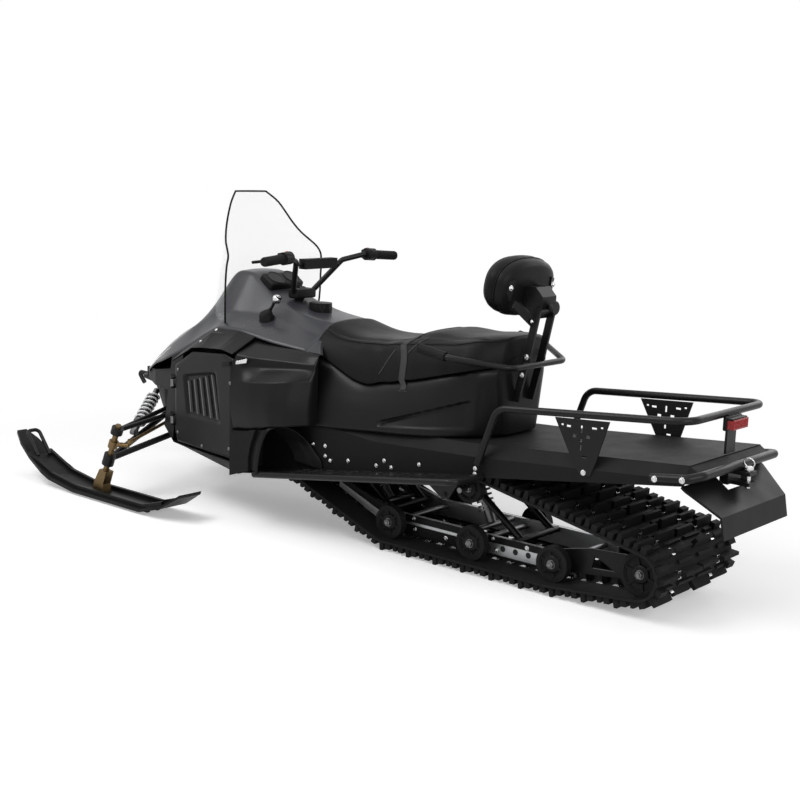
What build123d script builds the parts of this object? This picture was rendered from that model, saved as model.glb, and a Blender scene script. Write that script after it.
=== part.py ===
"""Two-seat utility snowmobile with a long track, as an assembly of named pieces.

Units are millimetres. X points forward, Y to the left, Z up; the origin is the
bottom centre of the outer box.
"""
import os
from math import acos, atan2, cos, pi, radians, sin, sqrt, tan

from build123d import *

# Overall places
FIT = 0.3
SIDES = (("left", 1), ("right", -1))

# Track and its wheels: name, x, z, radius under the belt
BELT = 8.0
LUG = 32.0
TRACK_HALF = 254.0
PITCH_COUNT = 61
BELT_FLOOR = BELT + LUG
BOGIE_R = 63.0
IDLER_R = 75.0
CARRIER_R = 55.0
SPROCKET_R = 90.0
BOGIE_X = (-279.0, -661.0, -1008.0)
BOGIE_Z = BELT_FLOOR + BOGIE_R
IDLER = (-1349.0, 145.0)
CARRIER = (-643.0, 301.0)
SPROCKET = (284.0, 344.0)
WHEEL_Y = 200.0
WHEEL_HALF = 15.0
AXLE_R = 10.0
BORE_R = 10.5
LUG_EDGE = 8.0
LUG_WIDE = 104.0
LUG_OUT = TRACK_HALF - LUG_EDGE
LUG_STRIPS = ((-LUG_OUT, LUG_WIDE - LUG_OUT, 0), (-118.0, -12.0, 1), (12.0, 118.0, 0),
              (LUG_OUT - LUG_WIDE, LUG_OUT, 1))

# Tunnel sections: x, bottom edge, roof
SHEET = 3.0
TRACK_SIDE = 15.0
TUNNEL_HALF = TRACK_HALF + TRACK_SIDE
ROOF_HALF = TUNNEL_HALF - 29.0
CHAMFER = 42.0
TUNNEL = ((462.0, 196.0, 500.0), (100.0, 246.0, 478.0), (-250.0, 296.0, 453.0),
          (-700.0, 359.0, 474.0), (-1512.0, 475.0, 537.0))

# Slide rails
RAIL_Y = 137.0
RAIL_HALF = 8.0
RAIL_LOW = BELT_FLOOR + 14.0
RAIL_TOP = 112.0
APPROACH = 0.3719

# Running boards
BOARD_A = (365.0, 207.0)
BOARD_B = (-737.0, 371.0)
BOARD_IN = TUNNEL_HALF + FIT
BOARD_WIDE = 129.0
BOARD_OUT = TUNNEL_HALF + BOARD_WIDE
BOARD_T = 4.0
EDGE_TUBE_R = 12.5
EDGE_TURN = -724.0
EDGE_TUBE_Y = BOARD_OUT + 11.0
GUARD_T = 20.0
GUARD_OUT = EDGE_TUBE_Y + 15.0

# Front panels
DOOR_FRONT = (800.0, 345.0)
DOOR_REAR = (366.0, 415.0)
DOOR_T = 8.0
DOOR_LOW = 258.0

# Steering
BAR_AT = (410.0, 0.0, 878.0)
BAR_LEAN = 35.0
BAR_R = 11.0
POST_R = 20.0
SKI_Y = 510.0
SKI_HALF = 75.0
KING_AT = (1035.0, SKI_Y, 100.0)
KING_LEAN = 23.0
SPINDLE_R = 12.0
EYE_BORE = SPINDLE_R + 0.4
EYE_R = 25.0
UPPER_EYE_Z = 297.0
LOWER_EYE_Z = 168.0
BALL_Z = 236.0
ARM_BACK = 62.0
ARM_IN = 32.0
ROD_R = 7.0
ARM_R = 10.0
EYE_T = 14.0
BALL_PIN = 5.0
ROD_EYE = 12.0
KING_UP = (-sin(radians(KING_LEAN)), 0.0, cos(radians(KING_LEAN)))

# Tubes
RACK_R = 12.5
RAIL_R = 11.0
BUMPER_R = 15.0


def king_x(z):
    return KING_AT[0] - (z - KING_AT[2]) * tan(radians(KING_LEAN))


def tube(points, radius, bend):
    with BuildPart() as made:
        with BuildLine() as path:
            FilletPolyline(*points, radius=bend)
        with BuildSketch(Plane(origin=path.line @ 0, z_dir=path.line % 0)):
            Circle(radius)
        sweep()
    return made.part


def rod(a, b, radius, bore=0.0):
    axis = Vector(*b) - Vector(*a)
    with BuildPart() as made:
        with BuildSketch(Plane(origin=a, z_dir=axis)):
            Circle(radius)
            if bore:
                Circle(bore, mode=Mode.SUBTRACT)
        extrude(amount=axis.length)
    return made.part


def box(x0, x1, y0, y1, z0, z1):
    with BuildPart() as made:
        with Locations(((x0 + x1) / 2, (y0 + y1) / 2, (z0 + z1) / 2)):
            Box(abs(x1 - x0), abs(y1 - y0), abs(z1 - z0))
    return made.part


def side_plate(points, y0, y1):
    with BuildPart() as made:
        with BuildSketch(Plane.XZ.offset(-max(y0, y1))):
            with BuildLine():
                Polyline(*points, close=True)
            make_face()
        extrude(amount=abs(y1 - y0))
    return made.part


def sections(rows):
    with BuildPart() as made:
        for x, points in rows:
            with BuildSketch(Plane.YZ.offset(x)):
                with BuildLine():
                    Polyline(*points, close=True)
                make_face()
        loft(ruled=True)
    return made.part


def wheel_on(x, y, z, radius, half, bore):
    with BuildPart() as made:
        with BuildSketch(Plane.XZ.offset(-(y + half))):
            with Locations((x, z)):
                Circle(radius)
                Circle(bore, mode=Mode.SUBTRACT)
        extrude(amount=2 * half)
        for face_y, way in ((y + half, 1), (y - half + 6.0, 1)):
            with BuildSketch(Plane.XZ.offset(-face_y)):
                with Locations((x, z)):
                    Circle(radius - 14.0)
                    Circle(26.0, mode=Mode.SUBTRACT)
            extrude(amount=6.0, mode=Mode.SUBTRACT)
    return made.part


def joined(*pieces):
    with BuildPart() as made:
        for piece in pieces:
            add(piece)
    return made.part


def cut(base, *tools):
    with BuildPart() as made:
        add(base)
        for tool in tools:
            add(tool, mode=Mode.SUBTRACT)
    return made.part


NODES = {}


def keep(name, part):
    part.label = name
    NODES[name] = part


# Belt loop around its wheels
CIRCLES = ((SPROCKET[0], SPROCKET[1], SPROCKET_R), (CARRIER[0], CARRIER[1], CARRIER_R),
           (IDLER[0], IDLER[1], IDLER_R), (BOGIE_X[2], BOGIE_Z, BOGIE_R), (BOGIE_X[0], BOGIE_Z, BOGIE_R))


def loop_normals():
    found = []
    count = len(CIRCLES)
    for i in range(count):
        xa, za, ra = CIRCLES[i]
        xb, zb, rb = CIRCLES[(i + 1) % count]
        length = sqrt((xb - xa) ** 2 + (zb - za) ** 2)
        found.append(atan2(zb - za, xb - xa) - acos((ra - rb) / length))
    return found


NORMALS = loop_normals()


def loop_wire(grow):
    count = len(CIRCLES)
    for i in range(count):
        xc, zc, r = CIRCLES[i]
        a = NORMALS[i - 1]
        b = NORMALS[i]
        turn = (b - a) % (2 * pi)
        r = r + grow
        p = [(xc + r * cos(t), zc + r * sin(t)) for t in (a, a + turn / 2, b)]
        ThreePointArc(*p)
        xn, zn, rn = CIRCLES[(i + 1) % count]
        rn = rn + grow
        Line(p[2], (xn + rn * cos(b), zn + rn * sin(b)))


def loop_points(count, grow):
    pieces = []
    for i in range(len(CIRCLES)):
        xc, zc, r = CIRCLES[i]
        a = NORMALS[i - 1]
        b = NORMALS[i]
        turn = (b - a) % (2 * pi)
        pieces.append(("arc", xc, zc, r, a, turn, r * turn))
        xn, zn, rn = CIRCLES[(i + 1) % len(CIRCLES)]
        p = (xc + r * cos(b), zc + r * sin(b))
        q = (xn + rn * cos(b), zn + rn * sin(b))
        pieces.append(("line", p, q, b, 0, 0, sqrt((q[0] - p[0]) ** 2 + (q[1] - p[1]) ** 2)))
    total = sum(piece[6] for piece in pieces)
    places = []
    for k in range(count):
        s = total * k / count
        for piece in pieces:
            if s <= piece[6]:
                break
            s = s - piece[6]
        if piece[0] == "arc":
            t = piece[4] + piece[5] * s / piece[6]
            places.append((piece[1] + (piece[3] + grow) * cos(t), piece[2] + (piece[3] + grow) * sin(t), t))
        else:
            f = s / piece[6]
            t = piece[3]
            x = piece[1][0] + f * (piece[2][0] - piece[1][0]) + grow * cos(t)
            z = piece[1][1] + f * (piece[2][1] - piece[1][1]) + grow * sin(t)
            places.append((x, z, t))
    return places, total


LUG_PLACES, BELT_LENGTH = loop_points(PITCH_COUNT, BELT)

with BuildPart() as track:
    with BuildSketch(Plane.XZ.offset(-TRACK_HALF)):
        with BuildLine():
            loop_wire(BELT)
        make_face()
        with BuildLine():
            loop_wire(0.0)
        make_face(mode=Mode.SUBTRACT)
    extrude(amount=2 * TRACK_HALF)
    for y0, y1, phase in LUG_STRIPS:
        with BuildSketch(Plane.XZ.offset(-y1)):
            for k, (x, z, t) in enumerate(LUG_PLACES):
                n = (cos(t), sin(t))
                u = (-sin(t), cos(t))
                low = -2.0
                high = LUG if (k + phase) % 2 == 0 else LUG - 9.0
                corners = ((-11.0, low), (11.0, low), (6.0, high), (-6.0, high))
                with BuildLine():
                    Polyline(*[(x + a * u[0] + b * n[0], z + a * u[1] + b * n[1]) for a, b in corners],
                             close=True)
                make_face()
        extrude(amount=y1 - y0)
keep("track", track.part)

# Wheels of the skid
WHEELS = [(x, s * WHEEL_Y, BOGIE_Z, BOGIE_R) for x in BOGIE_X for _, s in SIDES]
WHEELS += [(IDLER[0], y, IDLER[1], IDLER_R) for y in (-WHEEL_Y, -70.0, 70.0, WHEEL_Y)]
WHEELS += [(CARRIER[0], s * WHEEL_Y, CARRIER[1], CARRIER_R) for _, s in SIDES]
keep("skid_wheels", joined(*[wheel_on(x, y, z, r - 0.4, WHEEL_HALF, BORE_R) for x, y, z, r in WHEELS]))

with BuildPart() as drive:
    with BuildSketch(Plane.XZ.offset(-(TUNNEL_HALF - SHEET - FIT))):
        with Locations(SPROCKET):
            Circle(16.0)
    extrude(amount=2 * (TUNNEL_HALF - SHEET - FIT))
    for y in (-140.0, 140.0):
        with BuildSketch(Plane.XZ.offset(-(y + 14.0))):
            with Locations(SPROCKET):
                Circle(SPROCKET_R - 0.5)
        extrude(amount=28.0)
keep("drive_axle", drive.part)


def rail_line(x):
    return BELT_FLOOR - 1.2 + APPROACH * (x - BOGIE_X[0])


RAIL_SIDE = ((-1062.0, RAIL_LOW), (-236.0, RAIL_LOW), (42.0, rail_line(42.0) + 14.0),
             (30.0, rail_line(30.0) + 52.0),
             (-70.0, rail_line(-70.0) + 56.0), (-260.0, RAIL_TOP + 16.0), (-1062.0, RAIL_TOP + 16.0))
rails = []
for name, s in SIDES:
    plate = side_plate(RAIL_SIDE, s * (RAIL_Y - RAIL_HALF), s * (RAIL_Y + RAIL_HALF))
    holes = [rod((x, s * 100.0, BOGIE_Z), (x, s * 180.0, BOGIE_Z), BORE_R) for x in BOGIE_X]
    rails.append(cut(plate, *holes))
keep("slide_rails", joined(*rails))

TAIL_SIDE = ((-965.0, 88.0), (-1065.0, 74.0), (-1340.0, 106.0), (-1385.0, 132.0), (-1385.0, 160.0),
             (-1330.0, 184.0), (-1120.0, 172.0), (-965.0, 136.0))
TAIL_HOLES = (((-1130.0, 105.0), (-1220.0, 112.0), (-1140.0, 150.0)), ((-1240.0, 118.0), (-1300.0, 125.0),
              (-1300.0, 162.0), (-1250.0, 158.0)))
tails = []
for name, s in SIDES:
    y0 = s * (RAIL_Y + RAIL_HALF + 2.0)
    plate = side_plate(TAIL_SIDE, y0, y0 + s * 8.0)
    holes = [side_plate(points, y0 - s * 5.0, y0 + s * 15.0) for points in TAIL_HOLES]
    holes.append(rod((IDLER[0], y0 - s * 5.0, IDLER[1]), (IDLER[0], y0 + s * 15.0, IDLER[1]), BORE_R))
    holes.append(rod((BOGIE_X[2], y0 - s * 5.0, BOGIE_Z), (BOGIE_X[2], y0 + s * 15.0, BOGIE_Z), BORE_R))
    tails.append(cut(plate, *holes))
keep("rear_rail_plates", joined(*tails))

# Arms and shocks that carry the skid in the tunnel
arm_in = RAIL_Y - RAIL_HALF - FIT
WALL_IN = TUNNEL_HALF - SHEET - FIT
FRONT_ARM = ((60.0, 318.0), (-190.0, 118.0))
REAR_ARM = ((-500.0, 340.0), (-800.0, 120.0))
ARM_TOP_R = 14.0
ARM_LOW_R = 12.0
ARM_LEG_R = 13.0
ARM_LEG_Y = 96.0
CROSS_R = 10.0
CROSS = ((-110.0, 118.0), (-600.0, 118.0))


def skid_arm(top, low):
    cross = [rod((top[0], -WALL_IN, top[1]), (top[0], WALL_IN, top[1]), ARM_TOP_R),
             rod((low[0], -arm_in, low[1]), (low[0], arm_in, low[1]), ARM_LOW_R)]
    legs = [rod((top[0], s * ARM_LEG_Y, top[1]), (low[0], s * ARM_LEG_Y, low[1]), ARM_LEG_R) for _,
            s in SIDES]
    return joined(*cross, *legs)


keep("skid_arms", joined(skid_arm(*FRONT_ARM), skid_arm(*REAR_ARM)))


def shock(a, b, body_r, spring_r):
    axis = Vector(*b) - Vector(*a)
    length = axis.length
    plane = Plane(origin=a, z_dir=axis)
    turns = 7
    with BuildPart() as made:
        with BuildSketch(plane):
            Circle(body_r)
        extrude(amount=length)
        with BuildSketch(plane.offset(length * 0.22)):
            Circle(spring_r)
        extrude(amount=6.0)
        for k in range(turns):
            with BuildSketch(plane.offset(length * (0.28 + 0.6 * k / turns))):
                Circle(spring_r - 2.0)
            extrude(amount=length * 0.6 / turns * 0.45)
    return made.part


def between(low, low_r, top, top_r):
    a = Vector(low[0], 0.0, low[1])
    b = Vector(top[0], 0.0, top[1])
    d = (b - a).normalized()
    return shock(tuple(a + d * (low_r + FIT)), tuple(b - d * (top_r + FIT)), 17.0, 34.0)


keep("skid_shocks",
     joined(between(CROSS[0], CROSS_R, FRONT_ARM[0], ARM_TOP_R),
            between(CROSS[1], CROSS_R, REAR_ARM[0], ARM_TOP_R)))
AXLES = [(x, BOGIE_Z, 228.0) for x in BOGIE_X] + [(IDLER[0], IDLER[1], 228.0),
                                                  (CARRIER[0], CARRIER[1], WALL_IN)]
AXLES += [(x, z, arm_in) for x, z in CROSS]
keep("skid_axles", joined(*[rod((x, -half, z), (x, half, z), AXLE_R) for x, z, half in AXLES]))


# Tunnel, a bent sheet open below
def tunnel_ring(grow):
    rows = []
    for x, low, roof in TUNNEL:
        h = TUNNEL_HALF + grow
        r = ROOF_HALF + grow * 0.6
        rows.append((x, low, roof + grow, h, r))
    return rows


def tunnel_roof():
    rows = []
    for x, low, roof, h, r in tunnel_ring(0.0):
        rows.append((x, [(-r, roof), (r, roof), (r - 1.5, roof - SHEET), (1.5 - r, roof - SHEET)]))
    return sections(rows)


def tunnel_side(s):
    rows = []
    for x, low, roof, h, r in tunnel_ring(0.0):
        outer = [(r + FIT, roof), (h, roof - CHAMFER), (h, low)]
        inner = [(h - SHEET, low), (h - SHEET, roof - CHAMFER - 1.5), (r + FIT - 1.5, roof - SHEET)]
        rows.append((x, [(s * y, z) for y, z in outer + inner]))
    return sections(rows)


def tunnel_core(grow):
    rows = []
    for x, low, roof, h, r in tunnel_ring(grow):
        rows.append((x, [(-h, low - 60.0), (-h, roof - CHAMFER), (-r, roof), (r, roof),
                         (h, roof - CHAMFER), (h, low - 60.0)]))
    return sections(rows)


keep("tunnel", joined(tunnel_roof(), *[tunnel_side(s) for _, s in SIDES]))
TUNNEL_CLEAR = tunnel_core(FIT)

# Boards, their edge tubes and the foot guards
board_angle = atan2(BOARD_B[1] - BOARD_A[1], BOARD_A[0] - BOARD_B[0])
board_length = sqrt((BOARD_A[0] - BOARD_B[0]) ** 2 + (BOARD_B[1] - BOARD_A[1]) ** 2)
BOARD_PLANE = Plane(origin=(BOARD_A[0], 0.0, BOARD_A[1]), x_dir=(-cos(board_angle), 0.0, sin(board_angle)),
                    z_dir=(sin(board_angle), 0.0, cos(board_angle)))


def board(s):
    mid = s * (BOARD_IN + BOARD_OUT) / 2
    with BuildPart() as made:
        with BuildSketch(BOARD_PLANE):
            with Locations((board_length / 2, -mid)):
                Rectangle(board_length, BOARD_OUT - BOARD_IN)
            for row in (-34.0, 0.0, 34.0):
                with Locations(*[(300.0 + 62.0 * k, -mid + row) for k in range(12)]):
                    SlotOverall(44.0, 18.0, mode=Mode.SUBTRACT)
        extrude(amount=BOARD_T)
    return made.part


def board_z(x):
    return BOARD_A[1] + (BOARD_A[0] - x) * tan(board_angle)


def edge_tube(s):
    inner = s * (TUNNEL_HALF + FIT + 1.8)
    return tube([(x, y, board_z(x) - 2.0) for x, y in ((244.0, s * EDGE_TUBE_Y), (EDGE_TURN, s * EDGE_TUBE_Y),
                                                       (EDGE_TURN - 18.0, inner))], EDGE_TUBE_R, 30.0)


keep("running_boards", joined(*[joined(board(s), edge_tube(s)) for _, s in SIDES]))

# Front structure
# Belly pan rows: x, top half-width, top height, floor half-width, floor height
BELLY_T = 8.0
BELLY = ((905.0, 300.0, 300.0, 240.0, 262.0), (800.0, 338.0, 250.0, 290.0, 228.0),
         (372.0, 412.0, 250.0, 372.0, 196.0))


def along(rows, x, column):
    for a, b in zip(rows, rows[1:]):
        if b[0] <= x:
            break
    return a[column] + (a[0] - x) / (a[0] - b[0]) * (b[column] - a[column])


belly_rows = []
for x, top_y, top_z, floor_y, floor_z in BELLY:
    outer = [(-top_y, top_z), (-floor_y, floor_z), (floor_y, floor_z), (top_y, top_z)]
    inner = [(top_y - 10.0, top_z), (floor_y - 4.0, floor_z + BELLY_T),
             (4.0 - floor_y, floor_z + BELLY_T), (10.0 - top_y, top_z)]
    belly_rows.append((x, outer + inner))
keep("belly_pan", cut(sections(belly_rows), tunnel_core(FIT)))
ENGINE_X = (492.0, 872.0)
keep("engine",
     box(ENGINE_X[0], ENGINE_X[1], -205.0, 205.0, along(BELLY, ENGINE_X[1], 4) + BELLY_T + FIT, 590.0))
NOSE_REAR = BELLY[0][0] + FIT
NOSE_FRONT = 1262.0
# Nose frame half-profiles: x, then points from the bottom up
NOSE = (
    (NOSE_REAR, ((135.0, 262.0), (150.0, 400.0), (235.0, 430.0), (228.0, 536.0))),
    (1110.0, ((120.0, 292.0), (130.0, 410.0), (180.0, 432.0), (180.0, 500.0))),
    (NOSE_FRONT, ((50.0, 400.0), (60.0, 425.0), (92.0, 436.0), (92.0, 488.0))),
)
keep("nose_frame", sections([(x, [(-y, z) for y, z in half[::-1]] + list(half)) for x, half in NOSE]))


def nose_half(x, z):
    sides = []
    for row in (NOSE[0], NOSE[1]):
        (ya, za), (yb, zb) = row[1][0], row[1][1]
        sides.append(ya + (z - za) / (zb - za) * (yb - ya))
    return sides[0] + (x - NOSE[0][0]) / (NOSE[1][0] - NOSE[0][0]) * (sides[1] - sides[0])


HOOD = (
    (1282.0, ((0.0, 536.0), (58.0, 532.0), (98.0, 522.0), (124.0, 498.0))),
    (1226.0, ((0.0, 578.0), (90.0, 574.0), (138.0, 556.0), (166.0, 512.0))),
    (1084.0, ((0.0, 676.0), (118.0, 670.0), (178.0, 634.0), (214.0, 540.0))),
    (969.0, ((0.0, 718.0), (138.0, 712.0), (214.0, 674.0), (248.0, 566.0))),
    (800.0, ((0.0, 856.0), (152.0, 842.0), (236.0, 758.0), (277.0, 634.0))),
    (690.0, ((0.0, 950.0), (150.0, 936.0), (226.0, 806.0), (296.0, 690.0))),
    (590.0, ((0.0, 952.0), (132.0, 940.0), (204.0, 806.0), (301.0, 745.0))),
    (455.0, ((0.0, 866.0), (104.0, 858.0), (156.0, 798.0), (299.0, 749.0))),
    (284.0, ((0.0, 822.0), (108.0, 816.0), (166.0, 778.0), (293.0, 721.0))),
    (124.0, ((0.0, 808.0), (112.0, 796.0), (172.0, 752.0), (262.0, 702.0))),
)
HOOD_T = 9.0
HOOD_RIM = 3.0
HOOD_EDGE = tuple((x, half[-1][0], half[-1][1]) for x, half in HOOD)


def hood_shell():
    rows = []
    for x, half in HOOD:
        edge = half[-1][0]
        outer = list(half) + []
        left = [(-y, z) for y, z in half[:0:-1]]
        inside = [(y * (edge - HOOD_T) / edge, z - (HOOD_T if i < 3 else HOOD_RIM)) for i,
                  (y, z) in enumerate(half)]
        ring = left + outer + inside[::-1] + [(-y, z) for y, z in inside[1:]]
        rows.append((x, ring))
    return sections(rows)


def hood_core(grow):
    rows = []
    for x, half in HOOD:
        top = [(y + (grow if y > 0 else 0.0), z + grow) for y, z in half]
        rows.append((x, [(-y, z) for y, z in top[:0:-1]] + top + [(top[-1][0], 300.0),
                                                                  (-top[-1][0], 300.0)]))
    return sections(rows)


HOOD_CLEAR = hood_core(FIT)
bar_down = (sin(radians(BAR_LEAN)), 0.0, -cos(radians(BAR_LEAN)))
post_end = tuple(BAR_AT[i] + 150.0 * bar_down[i] for i in range(3))
post_top = tuple(BAR_AT[i] - 30.0 * bar_down[i] for i in range(3))
post_hole = rod(post_top, tuple(BAR_AT[i] + 220.0 * bar_down[i] for i in range(3)), POST_R + 0.4)
CAP_AT = (300.0, 0.0, 826.0)
CAP_R = 46.0
cap_hole = rod((CAP_AT[0], 0.0, 760.0), (CAP_AT[0], 0.0, 900.0), CAP_R + FIT)
keep("hood", cut(hood_shell(), post_hole, cap_hole))
keep("fuel_cap", rod((CAP_AT[0], 0.0, CAP_AT[2] - 30.0), (CAP_AT[0], 0.0, CAP_AT[2] + 30.0), CAP_R))

# Cowl bands between hood and side panels, knee panels behind them
DOOR_GAP = 6.0
HINGE_PIN = 4.0
HINGE_R = 8.0
HINGE_Z = (345.0, 500.0)
HINGE_HALF = 15.0
LUG_T = 6.0
COWL_T = 8.0
COWL_REAR = 366.0
KNEE_FRONT = COWL_REAR - FIT
# Lower edge of the cowl over the side panel: x, half-width, height
COWL_LOW = ((812.0, 338.0, 590.0), (690.0, 360.0, 648.0), (664.0, 364.0, 662.0), (590.0, 378.0, 672.0),
            (455.0, 404.0, 684.0),
            (430.0, 408.0, 684.0), (COWL_REAR, 418.0, 676.0))


def cowl_rows(s, table):
    rows = []
    for x, low_y, low_z in table:
        top_y = along(HOOD_EDGE, x, 1)
        top_z = along(HOOD_EDGE, x, 2) - HOOD_RIM * 0.12 - FIT
        rows.append((x, [(s * low_y, low_z), (s * top_y, top_z), (s * (top_y - COWL_T), top_z - HOOD_RIM),
                         (s * (low_y - COWL_T - 1.0), low_z - 2.0)]))
    return rows


def cowl(s):
    strip = [(x, along(BELLY, x, 1), along(BELLY, x, 2) + 2.0 + FIT) for x in (BELLY[0][0], COWL_LOW[0][0])]
    lugs = []
    for z in HINGE_Z:
        for low in (z - HINGE_HALF - 2.0 - LUG_T, z + HINGE_HALF + 2.0):
            with BuildPart() as lug:
                with BuildSketch(Plane.XY.offset(low)):
                    with Locations((DOOR_FRONT[0], s * DOOR_FRONT[1])):
                        Circle(HINGE_R)
                    with BuildLine():
                        Polyline((DOOR_FRONT[0] - 3.0, s * (DOOR_FRONT[1] - 6.0)),
                                 (DOOR_FRONT[0] + 5.0, s * (DOOR_FRONT[1] + 6.0)),
                                 (850.0, s * 316.0), (850.0, s * (232.0 + 0.22 * (540.0 - z))),
                                 (816.0, s * (262.0 + 0.22 * (540.0 - z))), close=True)
                    make_face()
                extrude(amount=LUG_T)
            lugs.append(lug.part)
        lugs.append(rod((DOOR_FRONT[0], s * DOOR_FRONT[1], z - HINGE_HALF - 2.0 - LUG_T),
                        (DOOR_FRONT[0], s * DOOR_FRONT[1], z + HINGE_HALF + 2.0 + LUG_T), HINGE_PIN))
    shell = joined(sections(cowl_rows(s, strip)), sections(cowl_rows(s, COWL_LOW)), *lugs)
    return cut(shell, Pos(0.0, 0.0, -FIT) * NODES["hood"])


# Knee panel profiles with the scoop above the bulge: x, then points from the bottom outwards and up
KNEE_IN = 275.0
KNEE = (
    (KNEE_FRONT,
     ((KNEE_IN, 380.0), (405.0, 378.0), (426.0, 470.0), (421.0, 572.0), (412.0, 630.0), (396.0, 676.0),
      (299.0, 716.0), (KNEE_IN, 716.0))),
    (318.0,
     ((KNEE_IN, 384.0), (408.0, 383.0), (428.0, 475.0), (421.0, 575.0), (398.0, 628.0), (384.0, 672.0),
      (297.0, 712.0), (KNEE_IN, 712.0))),
    (260.0,
     ((KNEE_IN, 392.0), (412.0, 392.0), (430.0, 482.0), (420.0, 578.0), (352.0, 628.0), (362.0, 664.0),
      (293.0, 708.0), (KNEE_IN, 708.0))),
    (160.0,
     ((KNEE_IN, 418.0), (416.0, 420.0), (428.0, 496.0), (408.0, 590.0), (332.0, 634.0), (336.0, 664.0),
      (284.0, 700.0), (KNEE_IN, 700.0))),
    (100.0,
     ((KNEE_IN, 424.0), (392.0, 426.0), (402.0, 500.0), (378.0, 598.0), (318.0, 638.0), (316.0, 662.0),
      (277.0, 694.0), (KNEE_IN, 694.0))),
    (44.0,
     ((KNEE_IN, 430.0), (320.0, 432.0), (326.0, 500.0), (312.0, 600.0), (296.0, 640.0), (294.0, 660.0),
      (277.0, 690.0), (KNEE_IN, 690.0))),
)
KNEE_LOW = tuple((x, points[1][1]) for x, points in KNEE)


def knee(s):
    return sections([(x, [(s * y, z) for y, z in points]) for x, points in KNEE])


keep("cowl_bands", joined(*[cowl(s) for _, s in SIDES]))


def guard(s):
    front_x = KNEE_FRONT
    top = [(x, along(KNEE_LOW, x, 1) - FIT) for x in (front_x, KNEE[1][0], KNEE[2][0], 226.0)]
    outline = [(front_x, 200.0)] + top + [(250.0, 340.0), (262.0, 290.0), (262.0, 236.0)]
    wall = side_plate(outline, s * (GUARD_OUT - GUARD_T), s * GUARD_OUT)
    face = ((front_x, 216.0), (front_x, 372.0), (350.0, 374.0), (336.0, 300.0), (344.0, 220.0))
    return joined(wall, side_plate(face, s * (TUNNEL_HALF + FIT), s * GUARD_OUT))


keep("footwell_guards", joined(*[guard(s) for _, s in SIDES]))

# Side panels that swing out at their front edge
door_dx = DOOR_REAR[0] - DOOR_FRONT[0]
door_dy = DOOR_REAR[1] - DOOR_FRONT[1]
door_len = sqrt(door_dx ** 2 + door_dy ** 2)


# Slots of the side panel: top corner along the panel and height, then bottom corner and height
SLAT_WIDE = 20.0
SLATS = tuple((121.0 + 43.0 * k, 523.0 + 12.0 * k, 142.0 + 49.0 * k, 402.0) for k in range(5))


def door(s):
    along = (door_dx / door_len, s * door_dy / door_len, 0.0)
    out = (s * door_dy / door_len * s, s * -door_dx / door_len, 0.0)
    plane = Plane(origin=(DOOR_FRONT[0], s * DOOR_FRONT[1], 0.0), x_dir=along, z_dir=out)
    flip = 1.0 if plane.y_dir.Z > 0 else -1.0
    outline = ((12.0, 300.0), (12.0, 578.0), (136.0, 646.0), (372.0, 668.0), (432.0, 656.0), (437.0, 300.0),
               (432.0, DOOR_LOW), (36.0, DOOR_LOW))
    with BuildPart() as made:
        with BuildSketch(plane.offset(-DOOR_T)):
            with BuildLine():
                Polyline(*[(a, flip * b) for a, b in outline], close=True)
            make_face()
        extrude(amount=DOOR_T)
        for a, top, b, low in SLATS:
            with BuildSketch(plane.offset(-DOOR_T)):
                with BuildLine():
                    Polyline((a, flip * top), (a + SLAT_WIDE, flip * (top + 5.0)),
                             (b + SLAT_WIDE, flip * low), (b, flip * low), close=True)
                make_face()
            extrude(amount=DOOR_T, mode=Mode.SUBTRACT)
        for z in HINGE_Z:
            with BuildSketch(plane.offset(-DOOR_T)):
                with Locations((9.0, flip * z)):
                    Rectangle(18.0, 2 * HINGE_HALF)
            extrude(amount=DOOR_T)
            with BuildSketch(Plane.XY.offset(z - HINGE_HALF)):
                with Locations((DOOR_FRONT[0], s * DOOR_FRONT[1])):
                    Circle(HINGE_R)
            extrude(amount=2 * HINGE_HALF)
            with BuildSketch(Plane.XY.offset(z - HINGE_HALF)):
                with Locations((DOOR_FRONT[0], s * DOOR_FRONT[1])):
                    Circle(HINGE_PIN + FIT)
            extrude(amount=2 * HINGE_HALF, mode=Mode.SUBTRACT)
    return made.part


for name, s in SIDES:
    keep("side_panel_" + name, door(s))

# Windshield: part of a leaning cylinder trimmed in side view
SHIELD_R = 262.0
SHIELD_T = 4.0
SHIELD_BASE = (615.0, 0.0, 820.0)
SHIELD_LEAN = 18.9
shield_axis = (-sin(radians(SHIELD_LEAN)), 0.0, cos(radians(SHIELD_LEAN)))
SHIELD_SIDE = ((950.0, 690.0), (640.0, 740.0), (590.0, 790.0), (562.0, 1000.0), (574.0, 1058.0),
               (622.0, 1124.0),
               (676.0, 1206.0), (704.0, 1256.0), (726.0, 1280.0), (760.0, 1288.0), (960.0, 1288.0))
with BuildPart() as shield:
    with BuildSketch(Plane(origin=SHIELD_BASE,
                           x_dir=(cos(radians(SHIELD_LEAN)), 0.0, sin(radians(SHIELD_LEAN))),
                           z_dir=shield_axis)):
        Circle(SHIELD_R)
        Circle(SHIELD_R - SHIELD_T, mode=Mode.SUBTRACT)
    extrude(amount=620.0, both=True)
    with BuildSketch(Plane.XZ.offset(-400.0)):
        with BuildLine():
            Polyline(*SHIELD_SIDE, close=True)
        make_face()
    extrude(amount=800.0, mode=Mode.INTERSECT)
    add(HOOD_CLEAR, mode=Mode.SUBTRACT)
keep("windshield", shield.part)

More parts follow.
